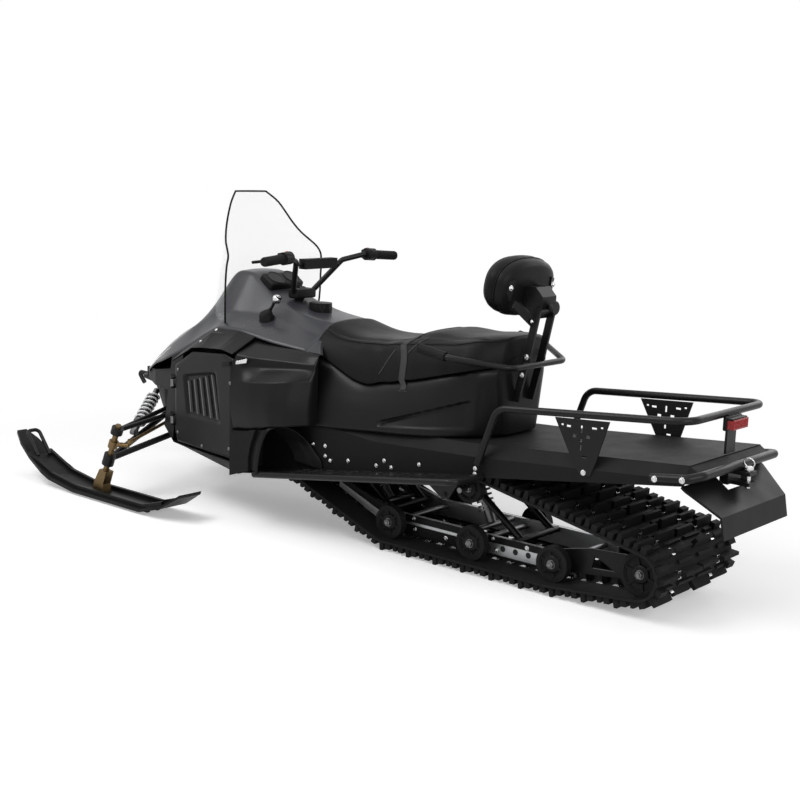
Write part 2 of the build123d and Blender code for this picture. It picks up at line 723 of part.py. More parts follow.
# Seat and what is fixed to it: x, then half-profile from the middle to the lower edge
SEAT = (
    (118.0, ((0.0, 812.0), (120.0, 802.0), (168.0, 770.0), (214.0, 698.0))),
    (0.0, ((0.0, 776.0), (120.0, 774.0), (178.0, 752.0), (226.0, 650.0))),
    (-140.0, ((0.0, 772.0), (120.0, 772.0), (186.0, 754.0), (232.0, 608.0))),
    (-255.0, ((0.0, 784.0), (120.0, 784.0), (190.0, 766.0), (232.0, 627.0))),
    (-400.0, ((0.0, 830.0), (120.0, 826.0), (192.0, 784.0), (232.0, 656.0))),
    (-520.0, ((0.0, 826.0), (120.0, 822.0), (192.0, 796.0), (228.0, 686.0))),
    (-640.0, ((0.0, 834.0), (110.0, 832.0), (170.0, 816.0), (206.0, 716.0))),
    (-706.0, ((0.0, 836.0), (70.0, 834.0), (110.0, 824.0), (134.0, 730.0))),
)
keep("seat", sections([(x, [(-y, z) for y, z in half[:0:-1]] + list(half)) for x, half in SEAT]))
SEAT_GAP = 0.6


def seat_low(x):
    for a, b in zip(SEAT, SEAT[1:]):
        if b[0] <= x:
            break
    f = (a[0] - x) / (a[0] - b[0])
    return tuple(a[1][3][i] + f * (b[1][3][i] - a[1][3][i]) for i in range(2))


# Seat base: x, middle half-width and height, lower half-width and height
BASE = ((98.0, 262.0, 560.0, 286.0, 420.0), (0.0, 262.0, 540.0, 284.0, 426.0),
        (-140.0, 262.0, 530.0, 280.0, 437.0),
        (-255.0, 259.0, 545.0, 274.0, 446.0), (-400.0, 256.0, 560.0, 268.0, 457.0),
        (-520.0, 244.0, 585.0, 254.0, 467.0),
        (-640.0, 206.0, 605.0, 212.0, 478.0), (-694.0, 148.0, 620.0, 150.0, 484.0))
base_rows = []
for x, mid_y, mid_z, low_y, low_z in BASE:
    top_y, top_z = seat_low(x)
    half = ((top_y - 4.0, top_z - SEAT_GAP), (mid_y, mid_z), (low_y, low_z))
    base_rows.append((x, [(-y, z) for y, z in half] + [(y, z) for y, z in half[::-1]]))
keep("seat_base", cut(sections(base_rows), TUNNEL_CLEAR))
base_clear = sections([(x + FIT, [(y + (FIT if y > 0 else -FIT), z) for y, z in points]) for x,
                       points in base_rows])
keep("knee_panels", joined(*[cut(knee(s), TUNNEL_CLEAR, base_clear) for _, s in SIDES]))

POST_HALF = 14.0
POST = ((BASE[-1][0] - FIT - POST_HALF, 600.0), (-748.0, 760.0), (-786.0, 940.0))
GRIP_A = (-465.0, 300.0, 787.0)
GRIP_B = (-600.0, 290.0, 764.0)
RAIL_Z = 737.0
post_lean = (POST[0][0] - POST[1][0]) / (POST[1][1] - POST[0][1])
RAIL_X = (POST[0][0] - POST_HALF - post_lean * (RAIL_Z - POST[0][1])
          - (RAIL_R + FIT) * sqrt(1 + post_lean ** 2))
keep("grab_rail",
     tube((GRIP_A, GRIP_B, (RAIL_X, 160.0, RAIL_Z), (RAIL_X, -160.0, RAIL_Z),
           (GRIP_B[0], -GRIP_B[1], GRIP_B[2]),
                        (GRIP_A[0], -GRIP_A[1], GRIP_A[2])), RAIL_R, 50.0))
grips = []
for name, s in SIDES:
    a = Vector(GRIP_A[0], s * GRIP_A[1], GRIP_A[2])
    b = Vector(GRIP_B[0], s * GRIP_B[1], GRIP_B[2])
    d = (b - a).normalized()
    grips.append(rod(tuple(a + d * 2.0), tuple(a + d * 116.0), 17.0, RAIL_R + 0.4))
keep("rail_grips", joined(*grips))

posts = []
for name, s in SIDES:
    side = [(x - POST_HALF, z) for x, z in POST] + [(x + POST_HALF, z) for x, z in POST[::-1]]
    posts.append(side_plate(side, s * 40.0, s * 50.0))
PAD_AT = (-724.0, 1004.0)
PAD_TILT = 12.0


def pad_back(z):
    return (PAD_AT[0] - (z - PAD_AT[1]) * tan(radians(PAD_TILT)) - FIT / cos(radians(PAD_TILT)), z)


bracket = side_plate(((-800.0, 935.0), (-768.0, 900.0), (-740.0, 930.0), pad_back(950.0),
                      pad_back(1012.0), (-770.0, 1012.0), (-800.0, 980.0)),
                     -42.0, 42.0)
keep("backrest_post", joined(bracket, *posts))
with BuildPart() as pad:
    with BuildSketch(Plane(origin=(PAD_AT[0], 0.0, PAD_AT[1]), x_dir=(0, 1, 0),
                           z_dir=(cos(radians(PAD_TILT)), 0.0, sin(radians(PAD_TILT))))):
        Ellipse(168.0, 104.0)
    extrude(amount=118.0)
    fillet(pad.edges(), radius=38.0)
keep("backrest_pad", pad.part)

# Rack, lamp and bumper at the rear
RACK_TOP = ((-728.0, TUNNEL_HALF + FIT + RACK_R, 412.0), (-800.0, TUNNEL_HALF + 11.0, 618.0),
            (-1508.0, TUNNEL_HALF - 11.0, 674.0))
rack_tube = tube(RACK_TOP + tuple((x, -y, z) for x, y, z in RACK_TOP[::-1]), RACK_R, 60.0)
LAMP_X = -1524.0
lamp_post = box(LAMP_X, LAMP_X + 8.0, -30.0, 30.0, 545.0, 672.0)
keep("rear_rack", joined(rack_tube, lamp_post))


PLATE_T = 4.0


def rack_plate(s):
    outline = ((-1030.0, 622.0), (-1238.0, 636.0), (-1196.0, 500.0), (-1176.0, 448.0), (-1140.0, 444.0),
               (-1104.0, 490.0))
    plate = side_plate(outline, s * (TUNNEL_HALF + FIT), s * (TUNNEL_HALF + FIT + PLATE_T))
    slots = []
    for x, z, w, h in ((-1134.0, 598.0, 8.0, 22.0), (-1086.0, 600.0, 20.0, 7.0),
                       (-1182.0, 606.0, 20.0, 7.0), (-1108.0, 572.0, 16.0, 9.0),
                       (-1160.0, 575.0, 16.0, 9.0), (-1134.0, 560.0, 9.0, 9.0),
                       (-1134.0, 536.0, 8.0, 16.0), (-1060.0, 602.0, 10.0, 6.0),
                       (-1210.0, 612.0, 10.0, 6.0), (-1150.0, 508.0, 18.0, 6.0)):
        slots.append(box(x - w / 2, x + w / 2, s * (TUNNEL_HALF - 9.0), s * (TUNNEL_HALF + 21.0),
                         z - h / 2, z + h / 2))
    return cut(plate, *slots)


keep("rack_plates", joined(*[rack_plate(s) for _, s in SIDES]))
keep("tail_lamp", box(LAMP_X - FIT - 30.0, LAMP_X - FIT, -48.0, 48.0, 628.0, 660.0))
BUMPER_Y = TUNNEL_HALF + FIT + BUMPER_R
BUMPER_Z = 512.0
BUMPER = ((-1405.0, BUMPER_Y, 487.0), (-1530.0, BUMPER_Y, 503.0), (-1560.0, TUNNEL_HALF - 23.0, BUMPER_Z))
keep("rear_bumper", tube(BUMPER + tuple((x, -y, z) for x, y, z in BUMPER[::-1]), BUMPER_R, 24.0))
PIN_R = 8.5
PIN_X = -1592.0
HITCH_TOP = BUMPER_Z - BUMPER_R - FIT
HITCH_LOW = HITCH_TOP - 46.0
JAW_T = 12.0
with BuildPart() as hitch:
    with BuildSketch(Plane.XY.offset(HITCH_LOW)):
        with Locations((-1530.0, 0.0)):
            Rectangle(30.0, 90.0)
    extrude(amount=HITCH_TOP - HITCH_LOW)
    for z in (HITCH_LOW, HITCH_TOP - JAW_T):
        with BuildSketch(Plane.XY.offset(z)):
            with Locations((-1574.0, 0.0)):
                Rectangle(70.0, 50.0)
            with Locations((PIN_X, 0.0)):
                Circle(PIN_R, mode=Mode.SUBTRACT)
        extrude(amount=JAW_T)
keep("hitch", hitch.part)
FLAP_T = 6.0
FLAP_HALF = TUNNEL_HALF - 47.0
FLAP_TOP = (-1503.0, along(TUNNEL, -1503.0, 1) - FIT)
FLAP_FOLD = (-1622.0, 389.0)
FLAP_END = (-1635.0, 318.0)
flap_sheet = side_plate((FLAP_TOP, FLAP_FOLD, FLAP_END, (FLAP_END[0] + FLAP_T, FLAP_END[1] - 1.0),
                         (FLAP_FOLD[0] + FLAP_T - 1.0, FLAP_FOLD[1] - 4.0),
                         (FLAP_TOP[0] + 3.0, FLAP_TOP[1] - FLAP_T)), -TUNNEL_HALF, TUNNEL_HALF)
flap_sides = []
for name, s in SIDES:
    with BuildPart() as trim:
        with BuildSketch(Plane.XY.offset(FLAP_END[1] - 40.0)):
            with BuildLine():
                Polyline((-1512.0, s * (TUNNEL_HALF + 1.0)), (FLAP_FOLD[0], s * FLAP_HALF),
                         (-1660.0, s * FLAP_HALF),
                         (-1660.0, s * (TUNNEL_HALF + 31.0)), (-1512.0, s * (TUNNEL_HALF + 31.0)),
                         close=True)
            make_face()
        extrude(amount=260.0)
    flap_sides.append(trim.part)
flap_notch = box(-1545.0 - 8.0, -1480.0, -53.0, 53.0, 300.0, 520.0)
keep("snow_flap", cut(flap_sheet, flap_notch, *flap_sides))

# Headlamps under the nose of the hood and the shift lever beside the console
keep("headlamps",
     joined(*[box(NOSE_FRONT + FIT, NOSE_FRONT + 20.0, s * 14.0, s * 84.0, 440.0, 484.0) for _,
              s in SIDES]))
LEVER_AT = (425.0, 178.0, 796.0)
lever_top = (LEVER_AT[0] - 42.0, LEVER_AT[1] - 6.0, LEVER_AT[2] + 72.0)
lever_foot = cut(rod((LEVER_AT[0], LEVER_AT[1], LEVER_AT[2] - 60.0),
                     (LEVER_AT[0], LEVER_AT[1], LEVER_AT[2] + 9.0), 30.0), HOOD_CLEAR)
lever_knob = rod((lever_top[0] - 4.0, lever_top[1] - 1.0, lever_top[2] - 6.0),
                 (lever_top[0] - 16.0, lever_top[1] - 3.0, lever_top[2] + 16.0), 14.0)
keep("shift_lever", joined(lever_foot, rod(LEVER_AT, lever_top, 6.0), lever_knob))

# Front bumper with its tow hook
keep("front_bumper",
     joined(tube(((NOSE_FRONT + FIT + 1.5, 50.0, 418.0), (NOSE_FRONT + 98.0, 40.0, 428.0),
                  (NOSE_FRONT + 98.0, -40.0, 428.0), (NOSE_FRONT + FIT + 1.5, -50.0, 418.0)), 10.0, 24.0),
                            tube(((NOSE_FRONT + 90.0, 0.0, 428.0), (NOSE_FRONT + 184.0, 0.0, 430.0),
                                  (NOSE_FRONT + 143.0, 0.0, 385.0)), 10.0, 9.0)))

# Suspension arms in front
UPPER_FEET = ((1030.0, 352.0, 4.0), (930.0, 352.0, 3.4))
LOWER_FEET = ((1100.0, 300.0, 6.0), (930.0, 268.0, 5.6))
LOWER_R = 13.0
SHOCK_Y = 336.0
SHOCK_EYE = 14.0
SHOCK_TOP_Z = 404.0
upper_arms = []
lower_arms = []
shocks = []
for name, s in SIDES:
    upper = (king_x(UPPER_EYE_Z), s * SKI_Y, UPPER_EYE_Z)
    lower = (king_x(LOWER_EYE_Z), s * SKI_Y, LOWER_EYE_Z)
    up = (-sin(radians(KING_LEAN)), 0.0, cos(radians(KING_LEAN)))

    def eye(at, half):
        a = tuple(at[i] - half * up[i] for i in range(3))
        b = tuple(at[i] + half * up[i] for i in range(3))
        return rod(a, b, EYE_R, EYE_BORE)

    def bore(at, half):
        a = tuple(at[i] - half * up[i] for i in range(3))
        b = tuple(at[i] + half * up[i] for i in range(3))
        return rod(a, b, EYE_BORE)

    legs = [rod(upper, (x, s * (nose_half(x, z) + reach), z), 10.0) for x, z, reach in UPPER_FEET]
    upper_arms.append(cut(joined(eye(upper, 14.0), *legs), bore(upper, 40.0)))
    feet = [(x, s * (nose_half(x, z) + reach), z) for x, z, reach in LOWER_FEET]
    legs = [rod(lower, foot, LOWER_R) for foot in feet]
    lower_arms.append(cut(joined(eye(lower, 24.0), *legs), bore(lower, 60.0)))
    f = (SKI_Y - SHOCK_Y) / (SKI_Y - abs(feet[0][1]))
    on_leg = Vector(lower[0] + f * (feet[0][0] - lower[0]), s * SHOCK_Y,
                    lower[2] + f * (feet[0][2] - lower[2]))
    run = (Vector(*feet[0]) - Vector(*lower)).normalized()
    lift = Vector(0.0, -run.Z, run.Y).normalized()
    lift = lift if lift.Z > 0 else -lift
    foot = on_leg + lift * (LOWER_R + SHOCK_EYE + FIT)
    eye_rod = rod((foot.X - 13.0, foot.Y, foot.Z), (foot.X + 13.0, foot.Y, foot.Z), SHOCK_EYE)
    shocks.append(joined(eye_rod, shock(tuple(foot), (1126.0, s * 158.0, SHOCK_TOP_Z), 13.0, 27.0)))

keep("upper_arms", joined(*upper_arms))
keep("lower_arms", joined(*lower_arms))
keep("front_shocks", joined(*shocks))

# Skis, their legs and the rods that steer them
SKI_T = 14.0
SKI_LOW = ((500.0, 104.0), (600.0, 44.0), (720.0, 10.0), (1160.0, 10.0), (1330.0, 34.0), (1490.0, 96.0),
           (1633.0, 182.0))


def ski(s):
    top = [(x - 6.0, z + SKI_T) for x, z in SKI_LOW]
    ridge = [(x, z + 30.0) for x, z in SKI_LOW[1:-1]]
    with BuildPart() as made:
        with BuildSketch(Plane.XZ.offset(-(s * SKI_Y + SKI_HALF))):
            with BuildLine():
                Polyline(*(list(SKI_LOW) + top[::-1]), close=True)
            make_face()
        extrude(amount=2 * SKI_HALF)
        with BuildSketch(Plane.XY):
            with BuildLine():
                Polyline((490.0, s * SKI_Y - 56.0), (640.0, s * SKI_Y - SKI_HALF),
                         (1380.0, s * SKI_Y - SKI_HALF), (1570.0, s * SKI_Y - 46.0),
                         (1636.0, s * SKI_Y - 20.0), (1636.0, s * SKI_Y + 20.0),
                         (1570.0, s * SKI_Y + 46.0), (1380.0, s * SKI_Y + SKI_HALF),
                         (640.0, s * SKI_Y + SKI_HALF), (490.0, s * SKI_Y + 56.0), close=True)
            make_face()
        extrude(amount=260.0, mode=Mode.INTERSECT)
        for edge in (-58.0, 44.0):
            with BuildSketch(Plane.XZ.offset(-(s * SKI_Y + edge + 14.0))):
                with BuildLine():
                    Polyline(*([(x, z + 4.0) for x, z in SKI_LOW[1:-1]] + ridge[::-1]), close=True)
                make_face()
            extrude(amount=14.0)
        for keel in (-32.0, 20.0):
            with BuildSketch(Plane.XZ.offset(-(s * SKI_Y + keel + 12.0))):
                with BuildLine():
                    Polyline((700.0, 20.0), (720.0, 0.0), (1160.0, 0.0), (1240.0, 24.0), close=True)
                make_face()
            extrude(amount=12.0)
    return made.part


def spindle(s):
    y = s * SKI_Y
    shaft = rod((king_x(58.0), y, 58.0), (king_x(322.0), y, 322.0), SPINDLE_R)
    leg = side_plate(
        ((1018.0, SKI_LOW[2][1] + SKI_T + FIT), (1096.0, SKI_LOW[2][1] + SKI_T + FIT), (1080.0, 66.0),
         (king_x(118.0) + 18.0, 122.0), (king_x(118.0) - 26.0, 114.0), (1022.0, 60.0)), y - 20.0, y + 20.0)
    ball = (king_x(BALL_Z) - ARM_BACK, s * (SKI_Y - ARM_IN), BALL_Z)
    arm = rod((king_x(BALL_Z), y, BALL_Z), ball, ARM_R)
    pin = rod(ball, tuple(ball[i] + (ARM_R + 2.0 + EYE_T) * KING_UP[i] for i in range(3)), BALL_PIN)
    collar = rod((king_x(BALL_Z - 14.0), y, BALL_Z - 14.0), (king_x(BALL_Z + 14.0), y, BALL_Z + 14.0), 20.0)
    return joined(shaft, leg, arm, pin, collar)


for name, s in SIDES:
    keep("ski_" + name, ski(s))
    keep("spindle_" + name, spindle(s))
    keep("ski_loop_" + name, tube(((1462.0, s * SKI_Y - 30.0, 109.1), (1545.0, s * SKI_Y - 30.0, 206.0),
                                   (1545.0, s * SKI_Y + 30.0, 206.0), (1462.0, s * SKI_Y + 30.0, 109.1)),
                                   8.0, 20.0))
    ball = Vector(king_x(BALL_Z) - ARM_BACK, s * (SKI_Y - ARM_IN), BALL_Z)
    up = Vector(*KING_UP)
    low = ball + up * (ARM_R + 1.0)
    centre = ball + up * (ARM_R + 1.0 + EYE_T / 2)
    bar = joined(rod(tuple(low), tuple(low + up * EYE_T), ROD_EYE),
                 rod(tuple(centre), (985.0, s * 196.0, 300.0), ROD_R))
    keep("tie_rod_" + name, cut(bar, rod(tuple(ball), tuple(ball + up * 60.0), BALL_PIN + FIT)))

# Handlebar with its post, pad, grips, control blocks and levers
BAR = ((240.0, 376.0, 1036.0), (262.0, 214.0, 1046.0), (312.0, 132.0, 1022.0), (404.0, 52.0, 888.0))
bar_tube = tube(BAR + tuple((x, -y, z) for x, y, z in BAR[::-1]), BAR_R, 26.0)
CROSSBAR = (318.0, 122.0, 1012.0)
CROSSBAR_R = 8.0
crossbar = rod((CROSSBAR[0], -CROSSBAR[1], CROSSBAR[2]), CROSSBAR, CROSSBAR_R)
keep("handlebar", joined(bar_tube, crossbar, rod(post_end, post_top, POST_R)))
grip_parts = []
block_parts = []
lever_parts = []
for name, s in SIDES:
    a = Vector(BAR[0][0], s * BAR[0][1], BAR[0][2])
    b = Vector(BAR[1][0], s * BAR[1][1], BAR[1][2])
    d = (b - a).normalized()
    grip_parts.append(rod(tuple(a + d * 1.0), tuple(a + d * 112.0), 17.0, BAR_R + 0.4))
    c = a + d * 140.0
    lever_parts.append(tube(((c.X + 16.0, c.Y, c.Z - 6.0), (c.X + 66.0, c.Y + s * 14.0, c.Z - 12.0),
                             (c.X + 62.0, c.Y + s * 120.0, c.Z - 16.0)), 6.0, 12.0))
    block = joined(rod(tuple(a + d * 116.0), tuple(a + d * 160.0), 25.0), lever_parts[-1])
    block_parts.append(cut(block, rod(tuple(a), tuple(b), BAR_R + 0.4)))
keep("bar_grips", joined(*grip_parts))
keep("bar_controls", joined(*block_parts))
pad_block = box(CROSSBAR[0] - 18.0, CROSSBAR[0] + 18.0, -92.0, 92.0, CROSSBAR[2] - 20.0, CROSSBAR[2] + 20.0)
keep("bar_pad",
     cut(pad_block,
         rod((CROSSBAR[0], -200.0, CROSSBAR[2]), (CROSSBAR[0], 200.0, CROSSBAR[2]), CROSSBAR_R + FIT)))

os.makedirs("parts", exist_ok=True)
for name, part in NODES.items():
    export_step(part, "parts/" + name + ".step")
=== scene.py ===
from math import acos, atan2, cos, pi, radians, sin, sqrt

import bmesh
import bpy
from mathutils import Matrix, Vector
from mathutils.bvhtree import BVHTree


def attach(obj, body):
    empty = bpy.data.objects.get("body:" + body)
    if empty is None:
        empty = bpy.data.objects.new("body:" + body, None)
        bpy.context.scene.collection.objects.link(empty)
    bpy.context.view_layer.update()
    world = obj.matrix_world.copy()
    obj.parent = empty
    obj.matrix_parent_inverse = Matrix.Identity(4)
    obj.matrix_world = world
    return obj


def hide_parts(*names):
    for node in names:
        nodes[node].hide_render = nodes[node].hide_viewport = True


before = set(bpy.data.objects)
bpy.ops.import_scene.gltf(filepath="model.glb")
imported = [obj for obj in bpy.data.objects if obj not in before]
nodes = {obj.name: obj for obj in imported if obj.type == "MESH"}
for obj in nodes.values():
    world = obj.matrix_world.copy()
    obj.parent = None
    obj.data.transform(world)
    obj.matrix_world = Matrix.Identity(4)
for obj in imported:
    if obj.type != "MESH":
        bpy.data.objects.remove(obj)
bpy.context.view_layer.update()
BOTH = (1.0, -1.0)
SIDES = (("left", 1.0), ("right", -1.0))
MM = 0.001


# Camera: place in metres and angles in radians, at the photograph's viewing angle
CAM_AT = Vector((-3.457, 3.9294, 1.4426))
CAM_TURN, CAM_TILT, CAM_ROLL = 0.70208, 0.17745, 0.03314
SENSOR, FOCAL_PIXELS, FRAME_PIXELS = 36.0, 1356.6, 800.0
look = Vector((sin(CAM_TURN) * cos(CAM_TILT), -cos(CAM_TURN) * cos(CAM_TILT), -sin(CAM_TILT)))
right = Vector((-cos(CAM_TURN), -sin(CAM_TURN), 0.0))
up = right.cross(look)
cam_x = right * cos(CAM_ROLL) + up * sin(CAM_ROLL)
cam_y = up * cos(CAM_ROLL) - right * sin(CAM_ROLL)
cam_data = bpy.data.cameras.new("camera")
cam_data.sensor_width = SENSOR
cam_data.lens = SENSOR * FOCAL_PIXELS / FRAME_PIXELS
cam_data.clip_end = 200.0
camera = bpy.data.objects.new("camera", cam_data)
camera.matrix_world = Matrix.Translation(CAM_AT) @ Matrix((cam_x, cam_y, -look)).transposed().to_4x4()
bpy.context.collection.objects.link(camera)
bpy.context.scene.camera = camera
bpy.context.scene.view_settings.view_transform = "Standard"

# Soft boxes in metres. Rows: name, place, aim, width and height, watts
LAMPS = (
    ("top_box", (-0.2, 0.2, 4.2), (-0.1, 0.0, 0.3), (5.0, 3.4), 48.0),
    ("rear_box", (-5.0, 2.0, 2.3), (-0.4, 0.0, 0.5), (2.6, 2.2), 95.0),
    ("side_box", (-0.4, 4.2, 4.4), (0.0, 0.2, 0.5), (4.4, 1.6), 64.0),
    ("front_box", (1.5, 2.5, 3.6), (-0.6, 0.25, 0.5), (2.6, 1.4), 80.0),
    ("back_box", (-1.0, -4.4, 2.8), (-0.1, 0.0, 0.5), (5.0, 1.6), 60.0),
)
for name, at, aim, size, watts in LAMPS:
    lamp_data = bpy.data.lights.new(name, "AREA")
    lamp_data.shape = "RECTANGLE"
    lamp_data.size, lamp_data.size_y = size
    lamp_data.energy = watts
    lamp = bpy.data.objects.new(name, lamp_data)
    lamp.location = at
    lamp.rotation_euler = (Vector(aim) - Vector(at)).to_track_quat("-Z", "Y").to_euler()
    bpy.context.collection.objects.link(lamp)


# Shader helpers
def feed(node, values):
    """Inputs of a shader node by name or number: an output is linked, and anything else is set."""
    for key, value in values.items():
        if isinstance(value, bpy.types.NodeSocket):
            node.id_data.links.new(value, node.inputs[key])
        else:
            node.inputs[key].default_value = value
    return node


def make(tree, kind, values=(), **settings):
    node = tree.nodes.new("ShaderNode" + kind)
    for key, value in settings.items():
        setattr(node, key, value)
    return feed(node, dict(values))


def looked_at(tree):
    """1 for rays that show the background: to the camera, off gloss or through glass. Else 0."""
    path = make(tree, "LightPath")
    total = path.outputs["Is Camera Ray"]
    for ray in ("Is Glossy Ray", "Is Transmission Ray"):
        total = make(tree, "Math", {0: total, 1: path.outputs[ray]}, operation="MAXIMUM").outputs[0]
    return total


WHITE_LIGHT = (1.0, 1.0, 1.0, 1.0)
world = bpy.data.worlds.new("studio")
world.use_nodes = True
bpy.context.scene.world = world
sky = world.node_tree
fill = feed(sky.nodes["Background"], {"Color": (0.9, 0.92, 0.95, 1.0), "Strength": 0.10})
backdrop = make(sky, "Background", {"Color": WHITE_LIGHT, "Strength": 1.0})
blend = make(sky, "MixShader", {0: looked_at(sky), 1: fill.outputs[0], 2: backdrop.outputs[0]})
feed(sky.nodes["World Output"], {"Surface": blend.outputs[0]})


# Materials
def finish(name, colour, rough, metal=0.0, vary=0.2, patch=7.0, grain=0.15, size=1.2, edge=1.2, wear=0.2,
           coat=0.0, spec=0.5, cells=False, brushed=False):
    """A surface with slow changes of colour and gloss, fine grain, softened edges and wear along them.

    patch is the scale of the slow changes. The grain's size and the softened edge are in mm.
    """
    m = bpy.data.materials.new(name)
    m.use_nodes = True
    tree = m.node_tree
    darker, lighter, worn = (tuple(min(1.0, c * by + plus) for c in colour) + (1.0,)
                             for by, plus in ((1.0 - vary, 0.0), (1.0 + vary, 0.0), (2.2, 0.03)))
    place = make(tree, "TexCoord").outputs["Object"]
    broad = make(tree, "TexNoise", {"Vector": place, "Scale": patch, "Detail": 7.0, "Roughness": 0.62})
    slow = broad.outputs["Fac"]
    tint = make(tree, "Mix", {0: slow, 6: darker, 7: lighter}, data_type="RGBA")
    soft = make(tree, "Bevel", {"Radius": edge * MM}, samples=4).outputs["Normal"]
    flat = make(tree, "NewGeometry").outputs["Normal"]
    bend = make(tree, "VectorMath", {0: soft, 1: flat}, operation="DOT_PRODUCT")
    rub = make(tree, "MapRange", {"Value": bend.outputs["Value"], "From Min": 0.985, "From Max": 0.80,
                                  "To Max": wear})
    patchy = make(tree, "Math", {0: rub.outputs["Result"], 1: slow}, operation="MULTIPLY")
    edges = make(tree, "Mix", {0: patchy.outputs[0], 6: tint.outputs[2], 7: worn}, data_type="RGBA")
    gloss = make(tree, "MapRange", {"Value": slow, "From Min": 0.3, "From Max": 0.7,
                                    "To Min": max(0.03, rough - 0.07), "To Max": rough + 0.07})
    if brushed:
        place = make(tree, "Mapping", {"Vector": place, "Scale": (0.04, 1.0, 1.0)}).outputs["Vector"]
    fine = {"Vector": place, "Scale": 1000.0 / size}
    if cells:
        height = make(tree, "TexVoronoi", fine, feature="DISTANCE_TO_EDGE").outputs["Distance"]
    else:
        height = make(tree, "TexNoise", {**fine, "Detail": 3.0}).outputs["Fac"]
    bump = make(tree, "Bump", {"Strength": grain, "Distance": size * 0.3 * MM, "Height": height,
                               "Normal": soft})
    feed(tree.nodes["Principled BSDF"], {
        "Base Color": edges.outputs[2], "Metallic": metal, "Roughness": gloss.outputs["Result"],
        "Specular IOR Level": spec, "Coat Weight": coat, "Coat Roughness": 0.12,
        "Normal": bump.outputs["Normal"]})
    return m


PLASTIC = finish("black_plastic", (0.0068, 0.0068, 0.0072), 0.42, grain=0.25, size=0.9, wear=0.3, spec=0.11)
SATIN = finish("satin_panel", (0.0062, 0.0062, 0.0066), 0.36, grain=0.10, size=0.8, wear=0.3, patch=4.0,
               spec=0.15)
GRAINED = finish("grained_panel", (0.008, 0.008, 0.0084), 0.54, grain=0.5, size=1.4, cells=True, spec=0.10)
PAINT = finish("black_coating", (0.0068, 0.0068, 0.0072), 0.36, grain=0.25, size=0.7, wear=0.35, spec=0.18)
TEXTURED = finish("textured_coating", (0.0095, 0.0095, 0.0099), 0.55, grain=0.6, size=1.6, wear=0.35,
                  spec=0.09)
RUBBER = finish("rubber", (0.008, 0.008, 0.0083), 0.66, grain=0.5, size=2.0, wear=0.5, vary=0.35, spec=0.13)
BELT_RUBBER = finish("belt_rubber", (0.0095, 0.0095, 0.0098), 0.70, grain=0.7, size=3.0, wear=0.6, vary=0.4,
                     edge=2.0, spec=0.12)
ALLOY = finish("mill_alloy", (0.50, 0.51, 0.52), 0.40, metal=1.0, grain=0.3, size=0.8, brushed=True, wear=0.0)
STEEL = finish("bright_steel", (0.62, 0.62, 0.62), 0.24, metal=1.0, grain=0.1, wear=0.0)
DARK_STEEL = finish("dark_steel", (0.16, 0.16, 0.165), 0.38, metal=1.0, grain=0.3, wear=0.3)
BRONZE = finish("zinc_yellow", (0.17, 0.115, 0.055), 0.45, metal=1.0, grain=0.3, vary=0.35, patch=22.0)
GREY = finish("slate_lacquer", (0.034, 0.035, 0.040), 0.32, grain=0.03, coat=0.08, vary=0.06, patch=3.0,
              wear=0.0, spec=0.26)
WHITE = finish("white_lacquer", (0.78, 0.79, 0.80), 0.30, grain=0.03, coat=0.6, vary=0.04, wear=0.0)
VINYL = finish("seat_vinyl", (0.006, 0.006, 0.0063), 0.43, grain=0.55, size=1.5, cells=True, vary=0.25,
               wear=0.15, edge=2.0, spec=0.09)
WEBBING = finish("webbing", (0.012, 0.012, 0.012), 0.72, grain=0.9, size=2.2, cells=True, wear=0.3)
# Lighter than the vinyl: thread colour for the stitches, and a painted highlight on the seams across the
# seat's sides
THREAD_AND_HIGHLIGHT = finish("thread_and_seam_highlight", (0.035, 0.035, 0.036), 0.6, grain=0.4, size=0.6)
# Slat blades far lighter than the panel: a painted highlight along the louvre edges
LIT_SLAT = finish("slat_painted_highlight", (0.10, 0.10, 0.102), 0.34, grain=0.1, wear=0.0)
# Near-black painted shade, for slots, holes, vent screens and the nose frame where shade falls; the dial
# faces take it too
SHADOW = finish("painted_shade_black", (0.003, 0.003, 0.0032), 0.75, grain=0.2, wear=0.0)
IRON = finish("cast_block", (0.06, 0.06, 0.062), 0.55, metal=0.6, grain=0.8, size=2.5)
RED = finish("red_lens", (0.30, 0.002, 0.003), 0.20, grain=0.3, size=5.0, coat=0.2, spec=0.3, cells=True,
             vary=0.25, wear=0.0)
RED_CAP = finish("red_switch", (0.42, 0.015, 0.012), 0.32, grain=0.1)

# The floor turns outwards into the white backdrop. Near the object it adds what the lamps lack of white,
# so that only the shadow stays dark
SWEEP_FROM, SWEEP_TO = 1.0, 2.9
FLOOR_LIFT = 0.32
FLOOR = finish("pale_floor", (0.92, 0.92, 0.92), 0.75, grain=0.1, size=4.0, vary=0.01, wear=0.0, spec=0.1)
ground = FLOOR.node_tree
shown = looked_at(ground)
spot = make(ground, "TexCoord").outputs["Object"]
reach = make(ground, "VectorMath", {0: spot}, operation="LENGTH").outputs["Value"]
away = make(ground, "MapRange", {"Value": reach, "From Min": SWEEP_FROM, "From Max": SWEEP_TO},
            interpolation_type="SMOOTHSTEP")
share = make(ground, "Math", {0: away.outputs["Result"], 1: shown}, operation="MULTIPLY")
lift = make(ground, "Math", {0: shown, 1: FLOOR_LIFT}, operation="MULTIPLY").outputs[0]
near = feed(ground.nodes["Principled BSDF"], {"Emission Color": WHITE_LIGHT, "Emission Strength": lift})
far = make(ground, "Emission")
sweep = make(ground, "MixShader", {0: share.outputs[0], 1: near.outputs[0], 2: far.outputs[0]})
feed(ground.nodes["Material Output"], {"Surface": sweep.outputs[0]})

